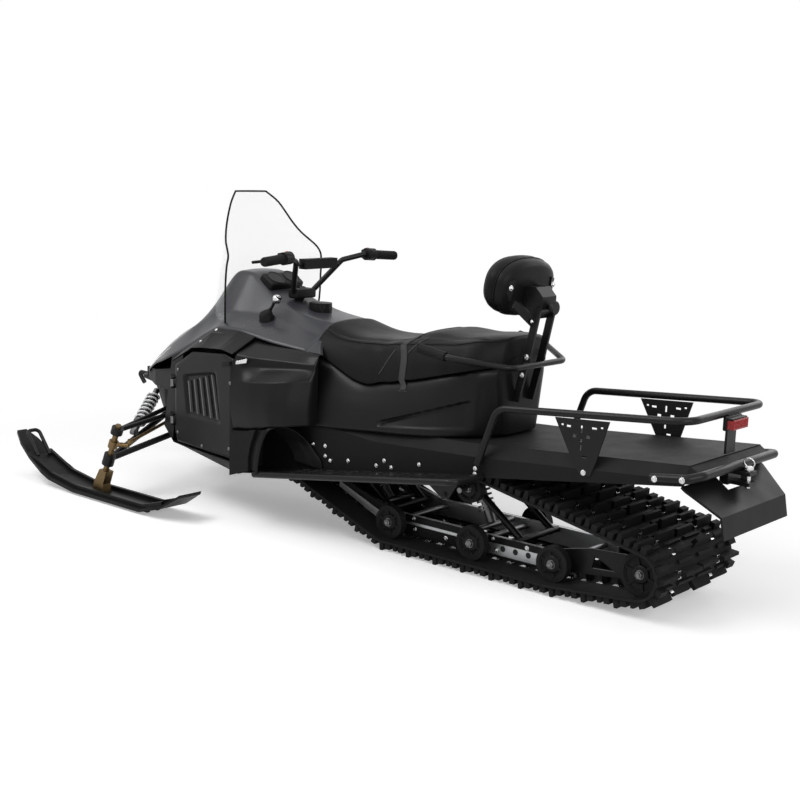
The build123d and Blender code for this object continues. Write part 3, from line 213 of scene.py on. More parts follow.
# Clear sheet with faint smears
GLASS = bpy.data.materials.new("clear_shield")
GLASS.use_nodes = True
GLASS.surface_render_method = "BLENDED"
smear = make(GLASS.node_tree, "TexNoise", {"Scale": 9.0})
faint = make(GLASS.node_tree, "MapRange", {"Value": smear.outputs["Fac"], "To Min": 0.02, "To Max": 0.09})
feed(GLASS.node_tree.nodes["Principled BSDF"], {
    "Base Color": (0.90, 0.92, 0.93, 1.0), "Roughness": faint.outputs["Result"], "Alpha": 0.08})

NODE_FINISH = {
    # The nose frame is drawn in painted shade, near-black as the shade under the hood
    SHADOW: ("nose_frame",),
    PLASTIC: ("drive_axle", "headlamps", "cowl_bands", "snow_flap", "fuel_cap", "bar_controls", "ski_left",
              "ski_right", "shift_lever"),
    SATIN: ("side_panel_left", "side_panel_right", "knee_panels", "seat_base"),
    GRAINED: ("footwell_guards", "belly_pan", "bar_pad"),
    PAINT: ("rear_rail_plates", "skid_arms", "running_boards", "grab_rail", "backrest_post", "rear_rack",
            "rack_plates", "rear_bumper", "hitch", "front_bumper", "upper_arms", "lower_arms", "handlebar",
            "ski_loop_left", "ski_loop_right"),
    TEXTURED: ("tunnel",),
    RUBBER: ("skid_wheels", "rail_grips", "bar_grips"),
    BELT_RUBBER: ("track",),
    ALLOY: ("slide_rails",),
    DARK_STEEL: ("skid_axles", "skid_shocks", "front_shocks"),
    BRONZE: ("spindle_left", "spindle_right", "tie_rod_left", "tie_rod_right"),
    GREY: ("hood",),
    GLASS: ("windshield",),
    VINYL: ("seat", "backrest_pad"),
    IRON: ("engine",),
    RED: ("tail_lamp",),
}
for material, names in NODE_FINISH.items():
    for name in names:
        node_mesh = nodes[name].data
        node_mesh.materials.clear()
        node_mesh.materials.append(material)


# Mesh helpers: points are in metres, and all sizes in the tables are millimetres
def vec(x, y, z):
    return Vector((x * MM, y * MM, z * MM))


def from_bm(name, bm, material, sharp=None, body="chassis", stands_for=None, slot=None, smooth=True):
    """A piece from a bmesh that rides on a body. Edges past sharp degrees stay sharp."""
    bmesh.ops.recalc_face_normals(bm, faces=bm.faces)
    if sharp is not None:
        for e in bm.edges:
            if len(e.link_faces) == 2 and e.calc_face_angle(0.0) > radians(sharp):
                e.smooth = False
    mesh = bpy.data.meshes.new(name)
    bm.to_mesh(mesh)
    bm.free()
    mesh.materials.append(material)
    if smooth:
        mesh.polygons.foreach_set("use_smooth", [True] * len(mesh.polygons))
    o = bpy.data.objects.new(name, mesh)
    bpy.context.collection.objects.link(o)
    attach(o, body)
    if stands_for:
        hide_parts(stands_for)
    return o


def rounded(points, ease, steps):
    """A polyline whose corners are eased into arcs, always with the same count of points."""
    out = [points[0].copy()]
    last = points[0]
    for i in range(1, len(points) - 1):
        p = points[i]
        f = ease[i - 1] * 0.48
        a = p.lerp(points[i - 1], f)
        b = p.lerp(points[i + 1], f)
        out += [last.lerp(a, k / steps) for k in range(1, steps + 1)]
        out += [a.lerp(p, k / steps).lerp(p.lerp(b, k / steps), k / steps) for k in range(1, steps + 1)]
        last = b
    out += [last.lerp(points[-1], k / steps) for k in range(1, steps + 1)]
    return out


def lengthwise(rows, steps):
    """Smooth rows in between, through every given row."""
    def mid(row):
        return sum(row, Vector()) / len(row)

    gaps = [max(1e-5, (mid(b) - mid(a)).length) for a, b in zip(rows, rows[1:])]
    slopes = []
    for i, row in enumerate(rows):
        if i in (0, len(rows) - 1):
            j = 0 if i == 0 else i - 1
            slopes.append([(b - a) / gaps[j] for a, b in zip(rows[j], rows[j + 1])])
        else:
            h0, h1 = gaps[i - 1], gaps[i]
            slopes.append([((c - b) / h1 * h0 + (b - a) / h0 * h1) / (h0 + h1)
                           for a, b, c in zip(rows[i - 1], row, rows[i + 1])])
    out = []
    for i, h in enumerate(gaps):
        for k in range(steps):
            t = k / steps
            w = (2 * t ** 3 - 3 * t ** 2 + 1, (t ** 3 - 2 * t ** 2 + t) * h,
                 3 * t ** 2 - 2 * t ** 3, (t ** 3 - t ** 2) * h)
            out.append([a * w[0] + m * w[1] + b * w[2] + n * w[3]
                        for a, m, b, n in zip(rows[i], slopes[i], rows[i + 1], slopes[i + 1])])
    out.append([p.copy() for p in rows[-1]])
    return out


def curve(points, s, steps):
    """A smooth line on side s through points in mm."""
    return [row[0] for row in lengthwise([[vec(x, s * y, z)] for x, y, z in points], steps)]


def ruled(rows, steps, passes):
    """Straight rows in between, with the folds at the given rows softened by so many passes."""
    out = []
    for a, b in zip(rows, rows[1:]):
        out += [[p.lerp(q, k / steps) for p, q in zip(a, b)] for k in range(steps)]
    out.append([p.copy() for p in rows[-1]])
    for _ in range(passes):
        out = [out[0]] + [[(p + q * 2.0 + r) / 4.0 for p, q, r in zip(out[i - 1], out[i], out[i + 1])]
                          for i in range(1, len(out) - 1)] + [out[-1]]
    return out


def mirrored(grid):
    return [[Vector((p.x, -p.y, p.z)) for p in row[::-1]] for row in grid]


def raised(grid, height):
    """Each point moved along the surface's normal by height(point), in metres."""
    n, m = len(grid), len(grid[0])
    out = []
    for i in range(n):
        row = []
        for j in range(m):
            a = grid[min(i + 1, n - 1)][j] - grid[max(i - 1, 0)][j]
            b = grid[i][min(j + 1, m - 1)] - grid[i][max(j - 1, 0)]
            normal = a.cross(b)
            normal = normal.normalized() if normal.length > 1e-12 else Vector((0, 0, 1))
            row.append(grid[i][j] + normal * height(grid[i][j]))
        out.append(row)
    return out


def skin(name, grids, material, thick=0.0, wrap=False, ends=False, **rest):
    """A piece from grids of points, closed along each row with wrap, capped with ends, and thick in mm."""
    bm = bmesh.new()
    for grid in grids:
        vs = [[bm.verts.new(p) for p in row] for row in grid]
        m = len(grid[0])
        for a, b in zip(vs, vs[1:]):
            for j in range(m if wrap else m - 1):
                k = (j + 1) % m
                bm.faces.new((a[j], a[k], b[k], b[j]))
        if ends:
            bm.faces.new(vs[0][::-1])
            bm.faces.new(vs[-1])
    bmesh.ops.remove_doubles(bm, verts=bm.verts, dist=1e-6)
    o = from_bm(name, bm, material, **rest)
    if thick:
        solid = o.modifiers.new("wall", "SOLIDIFY")
        solid.thickness = thick * MM
        solid.offset = -1.0
    return o


def circle(at, side, other, r, count):
    """Points round a centre, in the plane of two unit vectors."""
    return [at + (side * cos(2 * pi * k / count) + other * sin(2 * pi * k / count)) * r for k in range(count)]


def pipe(bm, points, r, count=8, closed=False):
    """A tube of radius r along points, all in metres."""
    rings = []
    n = len(points)
    side = None
    for i, p in enumerate(points):
        before = points[i - 1] if i or closed else p
        after = points[(i + 1) % n] if i < n - 1 or closed else p
        d = (after - before).normalized()
        if side is None:
            side = d.orthogonal().normalized()
        side = (side - d * side.dot(d)).normalized()
        rings.append([bm.verts.new(q) for q in circle(p, side, d.cross(side), r, count)])
    followers = rings[1:] + rings[:1] if closed else rings[1:]
    for a, b in zip(rings, followers):
        for k in range(count):
            j = (k + 1) % count
            bm.faces.new((a[k], a[j], b[j], b[k]))
    if not closed:
        bm.faces.new(rings[0][::-1])
        bm.faces.new(rings[-1])


def turned(bm, at, axis, profile, count=20):
    """A turned form: profile rows are the distance along the axis from at and the radius, in mm."""
    d = Vector(axis).normalized()
    side = d.orthogonal().normalized()
    other = d.cross(side)
    rings = []
    for h, r in profile:
        mid = at + d * (h * MM)
        points = [mid] if r < 1e-4 else circle(mid, side, other, r * MM, count)
        rings.append([bm.verts.new(p) for p in points])
    for a, b in zip(rings, rings[1:]):
        for k in range(count):
            j = (k + 1) % count
            if len(a) == 1 and len(b) > 1:
                bm.faces.new((a[0], b[j], b[k]))
            elif len(b) == 1 and len(a) > 1:
                bm.faces.new((a[k], a[j], b[0]))
            elif len(a) > 1:
                bm.faces.new((a[k], a[j], b[j], b[k]))


def bolt(bm, at, axis, r, h):
    """A washer with a six-sided domed head that has a socket in it."""
    turned(bm, at, axis, ((-1.0, r * 1.45), (1.4, r * 1.45), (1.6, r * 1.35), (1.6, r * 0.9)), 18)
    turned(bm, at, axis, ((1.2, r), (h - 1.0, r), (h, r * 0.82), (h, r * 0.45), (h - 2.0, r * 0.40),
                          (h - 2.0, 0.0)), 6)


def slab(bm, corners, depth):
    """A plate from a ring of corners, pushed by the vector depth."""
    a = [bm.verts.new(c) for c in corners]
    b = [bm.verts.new(c + depth) for c in corners]
    bm.faces.new(a)
    bm.faces.new(b[::-1])
    for i in range(len(a)):
        j = (i + 1) % len(a)
        bm.faces.new((a[i], b[i], b[j], a[j]))


def side_plate(bm, s, y, outline, thick):
    """A plate on side s: its outline in x and z stands at y and is pushed outwards."""
    slab(bm, [vec(x, s * y, z) for x, z in outline], vec(0, s * thick, 0))


def brick(bm, lo, hi, soften, turn=None):
    """A box with softened edges, turned about its middle."""
    made = bmesh.ops.create_cube(bm, size=1.0)["verts"]
    mid = Vector([(p + q) / 2 * MM for p, q in zip(lo, hi)])
    for v in made:
        v.co = Vector([v.co[i] * (hi[i] - lo[i]) * MM for i in range(3)])
        if turn:
            v.co = turn @ v.co
        v.co += mid
    edges = list({e for v in made for e in v.link_edges})
    bmesh.ops.bevel(bm, geom=edges, offset=soften * MM, segments=3, affect="EDGES", profile=0.5)


def tree_of(o, place=Matrix()):
    """A search tree of an object's faces, moved by place."""
    spots = [place @ v.co for v in o.data.vertices]
    return BVHTree.FromPolygons(spots, [tuple(p.vertices) for p in o.data.polygons])


def onto(tree, p, off):
    """The nearest point of a surface, moved off it along its normal."""
    at, normal, _, _ = tree.find_nearest(p)
    return at + normal * off


def ramp(v, a, b):
    """0 below a, 1 above b, and a smooth step in between."""
    t = max(0.0, min(1.0, (v - a) / (b - a)))
    return t * t * (3 - 2 * t)


def line_at(points, a):
    """The height at a of a line through points."""
    for p, q in zip(points, points[1:]):
        if a <= q[0]:
            break
    return p[1] + (a - p[0]) / (q[0] - p[0]) * (q[1] - p[1])


# Hood, dash and console in one lacquered moulding. Rows: x, then half a section's y and z from the middle out
HOOD = (
    (1272, ((0, 470), (36, 468), (60, 462), (70, 446))),
    (1252, ((0, 528), (48, 512), (76, 492), (96, 462))),
    (1200, ((0, 578), (84, 540), (124, 512), (146, 484))),
    (1084, ((0, 668), (112, 614), (168, 572), (208, 532))),
    (969, ((0, 712), (138, 676), (214, 626), (248, 566))),
    (800, ((0, 856), (150, 756), (236, 724), (277, 634))),
    (690, ((0, 968), (100, 962), (220, 782), (296, 690))),
    (590, ((0, 966), (92, 958), (204, 806), (301, 745))),
    (455, ((0, 866), (104, 858), (156, 798), (299, 749))),
    (284, ((0, 822), (108, 816), (166, 778), (293, 721))),
    (124, ((0, 808), (112, 796), (172, 752), (262, 702))),
)
HOOD_EASE = (0.22, 0.22, 1, 0.22, 0.22)
hood_rows = []
for x, half in HOOD:
    section = [vec(x, -y, z) for y, z in half[:0:-1]] + [vec(x, y, z) for y, z in half]
    hood_rows.append(rounded(section, HOOD_EASE, 5))
hood = skin("hood_shell", [ruled(hood_rows, 12, 10)], GREY, thick=5, stands_for="hood")
hood_tree = tree_of(hood)

# Rear corners of the hood, which run out beside the seat
TAIL = (((124.4, 160, 764), (124.4, 172, 752), (124.4, 216, 728), (124.4, 262, 702)),
        ((124, 160, 764), (122, 173, 751), (108, 217, 727), (90, 258, 700)),
        ((123, 160, 764), (119, 174, 750), (92, 218, 725), (56, 254, 698)),
        ((120, 150, 758), (113, 168, 744), (86, 208, 718), (50, 242, 692)))
tail_grid = ruled([rounded([vec(*p) for p in row], (0.6, 0.6), 5) for row in TAIL], 6, 2)
skin("hood_tails", [tail_grid, mirrored(tail_grid)], GREY, slot="hood")

# Seat sections as the hood's, and the base below. Base rows: x, y and z of its widest line, and of its foot
SEAT = (
    (118, ((0, 812), (120, 802), (168, 770), (214, 698))),
    (0, ((0, 776), (120, 774), (178, 752), (226, 650))),
    (-140, ((0, 772), (120, 772), (186, 754), (232, 608))),
    (-255, ((0, 784), (120, 784), (190, 766), (232, 627))),
    (-400, ((0, 830), (120, 826), (192, 784), (232, 656))),
    (-520, ((0, 826), (120, 822), (192, 796), (228, 686))),
    (-640, ((0, 834), (110, 832), (170, 816), (206, 716))),
    (-706, ((0, 836), (70, 834), (110, 824), (134, 730))),
)
SEAT_FRONT, SEAT_REAR = SEAT[0][0], SEAT[-1][0]
BASE = (
    (98, 262, 560, 286, 420),
    (0, 262, 540, 284, 426),
    (-140, 262, 530, 280, 437),
    (-255, 259, 545, 274, 446),
    (-400, 256, 560, 268, 457),
    (-520, 242, 585, 248, 467),
    (-640, 196, 605, 180, 478),
    (-694, 132, 620, 112, 484),
)
BASE_TAIL = ((-698, 0.93), (-700.5, 0.82), (-701, 0.5), (-701, 0))
WEDGE_FRONT, WEDGE_DEPTH = -253, 18


def seat_edge(x):
    """y and z of the cushion's lower edge."""
    for a, b in zip(SEAT, SEAT[1:]):
        if b[0] <= x:
            break
    f = (a[0] - x) / (a[0] - b[0])
    p, q = a[1][3], b[1][3]
    return p[0] + f * (q[0] - p[0]), p[1] + f * (q[1] - p[1])


def wedge(p):
    """Depth of the wedge pressed into the base: a long arrow that narrows to the front."""
    x, z = p.x / MM, p.z / MM
    top = 488 + (WEDGE_FRONT - x) * 0.318
    low = 470 + (WEDGE_FRONT - x) * 0.10
    inside = ramp(x, -640, -600) * (1 - ramp(x, -262, -250))
    slant = max(0, min(1, (z - low) / max(6, top - low)))
    deep = ramp(z, low - 2, low + 4) * (1 - ramp(z, top - 3, top + 2)) * inside
    return -WEDGE_DEPTH * deep * (0.25 + 0.75 * slant) * MM


base_rows = []
for x, wide_y, wide_z, foot_y, foot_z in BASE:
    top_y, top_z = seat_edge(x)
    section = [(foot_y - 10, foot_z), (foot_y, foot_z + 8), (wide_y, wide_z), (top_y + 1, top_z - 14),
               (top_y - 28, top_z + 10)]
    base_rows.append(rounded([vec(x, y, z) for y, z in section], (0.9, 0.7, 0.8), 12))
base_grid = raised(lengthwise(base_rows, 24), wedge)
base_grid += [[Vector((x * MM, p.y * f, p.z)) for p in base_rows[-1]] for x, f in BASE_TAIL]
base = skin("seat_base_shell", [base_grid, mirrored(base_grid)], SATIN, stands_for="seat_base")
base_tree = tree_of(base)

# Seat cushion
SEAT_EASE = (0.35, 0.9, 0.75, 0.9, 1, 0.9, 0.75, 0.9, 0.35)
SEAT_TAIL_Z = 778
seat_rows = []
for x, ((_, z0), (y1, z1), (y2, z2), (y3, z3)) in SEAT:
    half = [(y3 - 26, z3 + 4), (y3, z3 + 3), ((y2 + y3) / 2 + 9, (z2 + z3) / 2), (y2 + 3, z2),
            (y1, z1), (0, z0)]
    section = [vec(x, y, z) for y, z in half] + [vec(x, -y, z) for y, z in half[-2::-1]]
    seat_rows.append(rounded(section, SEAT_EASE, 4))
front_end = [Vector((p.x + 4 * MM, p.y * 0.96, p.z - 8 * MM)) for p in seat_rows[0]]
rear_end = [Vector((p.x - 6 * MM, p.y * 0.86, p.z + (SEAT_TAIL_Z * MM - p.z) * 0.22)) for p in seat_rows[-1]]


def plump(p):
    """The dip along the top seams and the slack folds by the strap."""
    x, y, z = p.x / MM, abs(p.y) / MM, p.z / MM
    _, edge_z = seat_edge(max(SEAT_REAR, min(SEAT_FRONT, x)))
    dip = -5 * (1 - min(1, abs(y - 150) / 9)) * ramp(z, edge_z + 70, edge_z + 100)
    slack = ramp(y, 60, 200) * (1 - ramp(abs(x + 250), 60, 190))
    return (dip + 2.2 * sin(x * 0.055 + y * 0.02) * slack) * MM


seat_grid = [front_end] + raised(lengthwise(seat_rows, 12), plump) + [rear_end]
seat = skin("seat_cushion", [seat_grid], VINYL, wrap=True, ends=True, stands_for="seat")
seat_tree = tree_of(seat)

# Piping along the side seams with stitches beside it, and two seams across each side, drawn lighter as a
# painted highlight
SEAM = ((110, 158, 778), (48, 165, 752), (-97, 176, 752), (-251, 182, 762),
        (-360, 188, 778), (-477, 190, 790), (-600, 180, 806), (-690, 128, 820))
CROSS_SEAMS = (((-217, 233, 655), (-234, 224, 682), (-256, 210, 716), (-278, 196, 748)),
               ((-338, 200, 742), (-366, 186, 772), (-395, 164, 800)))
piping = bmesh.new()
cross_seams = bmesh.new()
stitches = bmesh.new()
for s in BOTH:
    line = [onto(seat_tree, p, 0.6 * MM) for p in curve(SEAM, s, 26)]
    pipe(piping, line, 2.6 * MM)
    beside = Vector((0, -s * 9 * MM, 3 * MM))
    for p, q in zip(line[:-1:2], line[1::2]):
        a = onto(seat_tree, p + beside, 0.5 * MM)
        b = onto(seat_tree, p + (q - p) * 0.75 + beside, 0.5 * MM)
        pipe(stitches, [a, a.lerp(b, 0.5) + (a - seat_tree.find_nearest(a)[0]) * 0.8, b], 0.9 * MM, 6)
    for seam in CROSS_SEAMS:
        pipe(cross_seams, [onto(seat_tree, p, 0.8 * MM) for p in curve(seam, s, 10)], 1.8 * MM)
from_bm("seat_piping", piping, VINYL, slot="seat")
from_bm("seat_cross_seams", cross_seams, THREAD_AND_HIGHLIGHT, slot="seat")
from_bm("seat_stitches", stitches, THREAD_AND_HIGHLIGHT, slot="seat")

# Strap over the seat, down to a slot in the base on each side. Way: distance from the middle, x
STRAP_X, STRAP_Y, STRAP_Z, STRAP_RISE = -346, 236, 648, 175
STRAP_WAY = ((0, -384), (110, -338), (160, -310), (192, -302), (STRAP_Y, -332), (260, STRAP_X))
STRAP_ACROSS = ((-14, 1.2), (-13, 2.4), (0, 2.4), (13, 2.4), (14, 1.2))
STRAP_STEPS = 60
over = []
for k in range(STRAP_STEPS + 1):
    t = k / STRAP_STEPS
    y = STRAP_Y * cos(pi * t)
    z = STRAP_Z + STRAP_RISE * sin(pi * t) ** 0.6 if 0 < t < 1 else STRAP_Z
    over.append((seat_tree, vec(line_at(STRAP_WAY, abs(y)), y, z)))
down = [(base_tree, vec(STRAP_X, 246 - 0.3 * (z - 616), z)) for z in (616, 621, 627, 633)]
far_down = [(base_tree, Vector((p.x, -p.y, p.z))) for _, p in down[::-1]]
strap_grid = [[onto(tree, p + Vector((w * MM, 0, 0)), off * MM) for w, off in STRAP_ACROSS]
              for tree, p in down + over + far_down]
skin("seat_strap", [strap_grid], WEBBING, thick=1.2, slot="seat")
# Near-black slabs where the strap goes into the base: painted shade in the slots
slot_shades = bmesh.new()
for s in BOTH:
    corners = ((-21, 610), (21, 610), (20, 618), (-20, 618))
    slab(slot_shades, [onto(base_tree, vec(STRAP_X + a, s * 252, z), 0.8 * MM) for a, z in corners],
         Vector((0, -s * 3 * MM, 0)))
from_bm("strap_slot_shades", slot_shades, SHADOW, slot="seat_base")

# Backrest cushion in a moulded shell. Rows: depth, share of the full outline
PAD_AT, PAD_TILT = vec(-724, 0, 1004), radians(12)
PAD_WIDE, PAD_TOP, PAD_FOOT, PAD_SHARE = 168, 100, 116, 0.97
PAD_POWER, PAD_STEPS = 2.4, 72
CUSHION = ((44, 0.60), (45, 0.90), (48, 0.955), (56, 0.985), (72, 1), (88, 0.965), (100, 0.90),
           (109, 0.78), (114, 0.62), (117, 0.42), (118, 0.20), (118.2, 0.05))
SHELL = ((2, 0.05), (1.5, 0.35), (2, 0.60), (6, 0.78), (14, 0.90), (26, 0.965), (40, 0.985),
         (46, 0.98), (46.5, 0.93))
pad_out = Vector((cos(PAD_TILT), 0, sin(PAD_TILT)))
pad_up = Vector((-sin(PAD_TILT), 0, cos(PAD_TILT)))


def pad_ring(depth, grow):
    """The pad's outline, a rounded box that is taller below its middle, at a depth from its back."""
    ring = []
    for k in range(PAD_STEPS):
        t = 2 * pi * k / PAD_STEPS
        c, q = cos(t), sin(t)
        e = (abs(c) ** PAD_POWER + abs(q) ** PAD_POWER) ** (-1 / PAD_POWER)
        tall = PAD_TOP if q > 0 else PAD_FOOT
        across = Vector((0, 1, 0)) * (PAD_WIDE * grow * c * e * MM) * PAD_SHARE
        upward = pad_up * (tall * grow * q * e * MM) * PAD_SHARE
        ring.append(PAD_AT + across + upward + pad_out * (depth * MM))
    return ring


pad = skin("backrest_cushion", [[pad_ring(d, g) for d, g in CUSHION]], VINYL, wrap=True, ends=True,
           stands_for="backrest_pad")
back = skin("backrest_shell", [[pad_ring(d, g) for d, g in SHELL]], PLASTIC, wrap=True, slot="backrest_pad")
piping = bmesh.new()
pipe(piping, pad_ring(47, 0.985), 3.2 * MM, closed=True)
pipe(piping, pad_ring(101, 0.888), 2 * MM, closed=True)
from_bm("backrest_piping", piping, VINYL, slot="backrest_pad")

# Knee panels: a scoop over a bulge that fades out to the rear. Rows: x, then y and z from the foot up
KNEE = (
    (365.7, ((405, 378), (426, 470), (421, 572), (412, 630), (396, 676), (299, 716))),
    (318, ((408, 383), (428, 475), (421, 575), (398, 628), (384, 672), (297, 712))),
    (260, ((412, 392), (430, 482), (420, 578), (352, 628), (362, 664), (293, 708))),
    (160, ((416, 420), (428, 496), (408, 590), (332, 634), (336, 664), (284, 700))),
    (100, ((392, 426), (402, 500), (378, 598), (318, 638), (316, 662), (277, 694))),
    (44, ((320, 432), (326, 500), (312, 600), (296, 640), (294, 660), (277, 690))),
)
KNEE_EASE = (0.3, 0.9, 0.12, 0.5, 0.3, 0.4)
KNEE_FOOT_Y, KNEE_TOP_Y, KNEE_END_Y = 300, 262, 276
knee_rows = []
for x, points in KNEE:
    section = [(KNEE_FOOT_Y, points[0][1]), *points, (KNEE_TOP_Y, points[-1][1] + 6)]
    knee_rows.append(rounded([vec(x, y, z) for y, z in section], KNEE_EASE, 6))
knee_grid = ruled(knee_rows, 12, 8)
end_y = KNEE_END_Y * MM
knee_grid.append([Vector((p.x - 3 * MM, end_y + (p.y - end_y) * 0.6, p.z)) for p in knee_grid[-1]])
knee_grid.append([Vector((p.x, end_y, p.z)) for p in knee_grid[-1]])
skin("knee_shell", [knee_grid, mirrored(knee_grid)], SATIN, stands_for="knee_panels")

# Side panels with a pressed louvre field. On a panel, a runs back from the hinge at DOOR_X and DOOR_Y
DOOR_X, DOOR_Y = 800, 345
DOOR_COS, DOOR_SIN = 0.98729, 0.15924
DOOR_FRONT, DOOR_REAR, DOOR_RIM = 12, 437, 17
DOOR_TOP = ((DOOR_FRONT, 578), (136, 646), (372, 668), (432, 656), (DOOR_REAR, 640))
DOOR_LOW = ((DOOR_FRONT, 300), (36, 258), (432, 258), (DOOR_REAR, 280))
DOOR_COLUMNS, DOOR_ROWS = 90, 70
FIELD_A, FIELD_Z = 73, 548
HINGES = (345, 500)
HINGE_BARREL = ((0, 4.5), (0, 7), (1, 8), (29, 8), (30, 7), (30, 4.5))
DOOR_BOLTS = ((40, 300), (40, 560), (225, 276), (420, 300), (424, 560))
LATCH = ((374, 618, 0), (376, 636, 0), (412, 642, 3), (430, 646, 2), (431, 632, 2), (412, 626, 3))
CATCH = ((336, 421.5, 640), (336, 419.5, 652), (296, 400, 664), (296, 404, 648))
# Slats: a and z of the top, a and z of the foot
SLATS = tuple((121 + 43 * k, 523 + 12 * k, 142 + 49 * k, 402) for k in range(5))


def on_door(a, z, off, s):
    return vec(DOOR_X - DOOR_COS * a + DOOR_SIN * off, s * (DOOR_Y + DOOR_SIN * a + DOOR_COS * off), z)


def door_lift(a, z, low, top):
    """Height of the panel's face over its plane: a rounded rim, a slight crown and the louvre field."""
    d = min(a - DOOR_FRONT, DOOR_REAR - a, (z - low) * 0.95, (top - z) * 0.92)
    t = 1 - max(0, min(1, d / DOOR_RIM))
    front = FIELD_A + (FIELD_Z - z) * 0.188
    roof = FIELD_Z + (a - FIELD_A) * 0.18
    field = ramp(a, front, front + 30) * (1 - ramp(a, front + 226, front + 262))
    field *= (1 - ramp(z, roof - 15, roof)) * ramp(z, 383, 396)
    return -8 * (1 - sqrt(max(0, 1 - t * t))) - 13 * field - 2 * (1 - field)


for name, s in SIDES:
    body = "panel_" + name
    node = "side_panel_" + name
    out = on_door(0, 0, 1, s) - on_door(0, 0, 0, s)
    grid = []
    for i in range(DOOR_COLUMNS + 1):
        a = 12.2 + 424.6 * i / DOOR_COLUMNS
        low, top = line_at(DOOR_LOW, a), line_at(DOOR_TOP, a)
        heights = [low + (top - low) * j / DOOR_ROWS for j in range(DOOR_ROWS + 1)]
        grid.append([on_door(a, z, door_lift(a, z, low, top), s) for z in heights[::int(s)]])
    skin(node + "_shell", [grid], SATIN, body=body, stands_for=node)
    # The slots between the slats are near-black slabs of painted shade
    slot_shades = bmesh.new()
    slats = bmesh.new()
    for at, top, foot, low in SLATS:
        gap = ((at, top), (at + 20, top + 3), (foot + 20, low), (foot, low))
        slab(slot_shades, [on_door(a, z, -14.2, s) for a, z in gap], out * -1.5)
        # The slat blades are painted lighter than the panel, as a highlight along their edges
        blade = ((at - 7, top + 1), (at - 1, top + 2), (foot - 1, low - 2), (foot - 7, low - 2))
        slab(slats, [on_door(a, z, -3, s) for a, z in blade], out * -11)
    from_bm(node + "_slot_shades", slot_shades, SHADOW, body=body, slot=node, smooth=False)
    from_bm(node + "_slats", slats, LIT_SLAT, body=body, slot=node, smooth=False)
    fittings = bmesh.new()
    for z in HINGES:
        turned(fittings, vec(DOOR_X, s * DOOR_Y, z - 15), (0, 0, 1), HINGE_BARREL)
    for a, z in DOOR_BOLTS:
        bolt(fittings, on_door(a, z, -1.5, s), out, 5, 4)
    from_bm(node + "_fittings", fittings, DARK_STEEL, sharp=35, body=body, slot=node)
    latch = bmesh.new()
    slab(latch, [on_door(a, z, off, s) for a, z, off in LATCH], out * 5)
    from_bm(node + "_latch", latch, RUBBER, body=body, slot=node, smooth=False)
    catch = bmesh.new()
    slab(catch, [vec(x, s * y, z) for x, y, z in CATCH], Vector((0, s * 4 * MM, 1 * MM)))
    from_bm("panel_catch_" + name, catch, STEEL, slot="knee_panels", smooth=False)

# Triangular screens in the cowl, drawn as near-black painted shade in the vents, with a bolt past each corner
VENT = ((625, 338, 692), (576, 310, 738), (463, 328, 722))
VENT_STEPS = 10
bpy.context.view_layer.update()
cowl_tree = tree_of(nodes["cowl_bands"], nodes["cowl_bands"].matrix_world)
vent_shade = bmesh.new()
screws = bmesh.new()
for s in BOTH:
    a, b, c = (vec(x, s * y, z) for x, y, z in VENT)
    knots = {}
    for i in range(VENT_STEPS + 1):
        for j in range(VENT_STEPS + 1 - i):
            p = a + (b - a) * (i / VENT_STEPS) + (c - a) * (j / VENT_STEPS)
            knots[i, j] = vent_shade.verts.new(onto(cowl_tree, p, 1.6 * MM))
    for i in range(VENT_STEPS):
        for j in range(VENT_STEPS - i):
            vent_shade.faces.new((knots[i, j], knots[i + 1, j], knots[i, j + 1]))
            if i + j < VENT_STEPS - 1:
                vent_shade.faces.new((knots[i + 1, j], knots[i + 1, j + 1], knots[i, j + 1]))
    mid = (a + b + c) / 3
    for p in (a, b, c):
        at, normal, _, _ = cowl_tree.find_nearest(mid + (p - mid) * 1.12)
        bolt(screws, at, normal * (1 if normal.y * s > 0 else -1), 4.5, 4)
from_bm("cowl_vent_shades", vent_shade, SHADOW, slot="cowl_bands")

# Windshield: a clear sheet that narrows upwards, in rubber edging. Rows: z, edge x and y, middle x
SHIELD = (
    (740, 576, 262, 862),
    (860, 567, 272, 815),
    (937, 565, 272, 790),
    (997, 561, 270, 773),
    (1032, 561, 263, 764),
    (1055, 574, 256, 759),
    (1084, 603, 238, 753),
    (1110, 627, 217, 748),
    (1160, 657, 184, 742),
    (1200, 673, 160, 738),
    (1246, 692, 127, 734),
    (1281, 715, 86, 731),
)
SHIELD_BEND, SHIELD_ROWS, SHIELD_COLUMNS = 1.3, 36, 48
around = [(cos(pi * k / SHIELD_COLUMNS), sin(pi * k / SHIELD_COLUMNS)) for k in range(SHIELD_COLUMNS + 1)]
sheet = []
for z, x, y, front in SHIELD:
    sheet.append([vec(x + (front - x) * q ** SHIELD_BEND, y * abs(c) ** SHIELD_BEND * (1 if c > 0 else -1), z)
                  for c, q in around])
columns = []
for line in zip(*lengthwise(sheet, 5)):
    above = []
    for p in line:
        hit = hood_tree.ray_cast(Vector((p.x, p.y, 1.2)), Vector((0, 0, -1)))[0]
        above.append(p.z - (hit.z if hit else 0))
    i = next(k for k in range(1, len(line)) if above[k] > 0)
    sunk = max(0, -above[i - 1])
    start = i - 1 + sunk / (above[i] + sunk)
    column = []
    for k in range(SHIELD_ROWS + 1):
        at = start + (len(line) - 1 - start) * k / SHIELD_ROWS
        j = min(int(at), len(line) - 2)
        column.append(line[j].lerp(line[j + 1], at - j))
    columns.append(column)
shield = [list(row) for row in zip(*columns)]
skin("shield_sheet", [shield], GLASS, thick=4, stands_for="windshield")
edging = bmesh.new()
pipe(edging, columns[0] + shield[-1][1:-1] + columns[-1][::-1], 4 * MM)
from_bm("shield_edging", edging, RUBBER, slot="windshield")

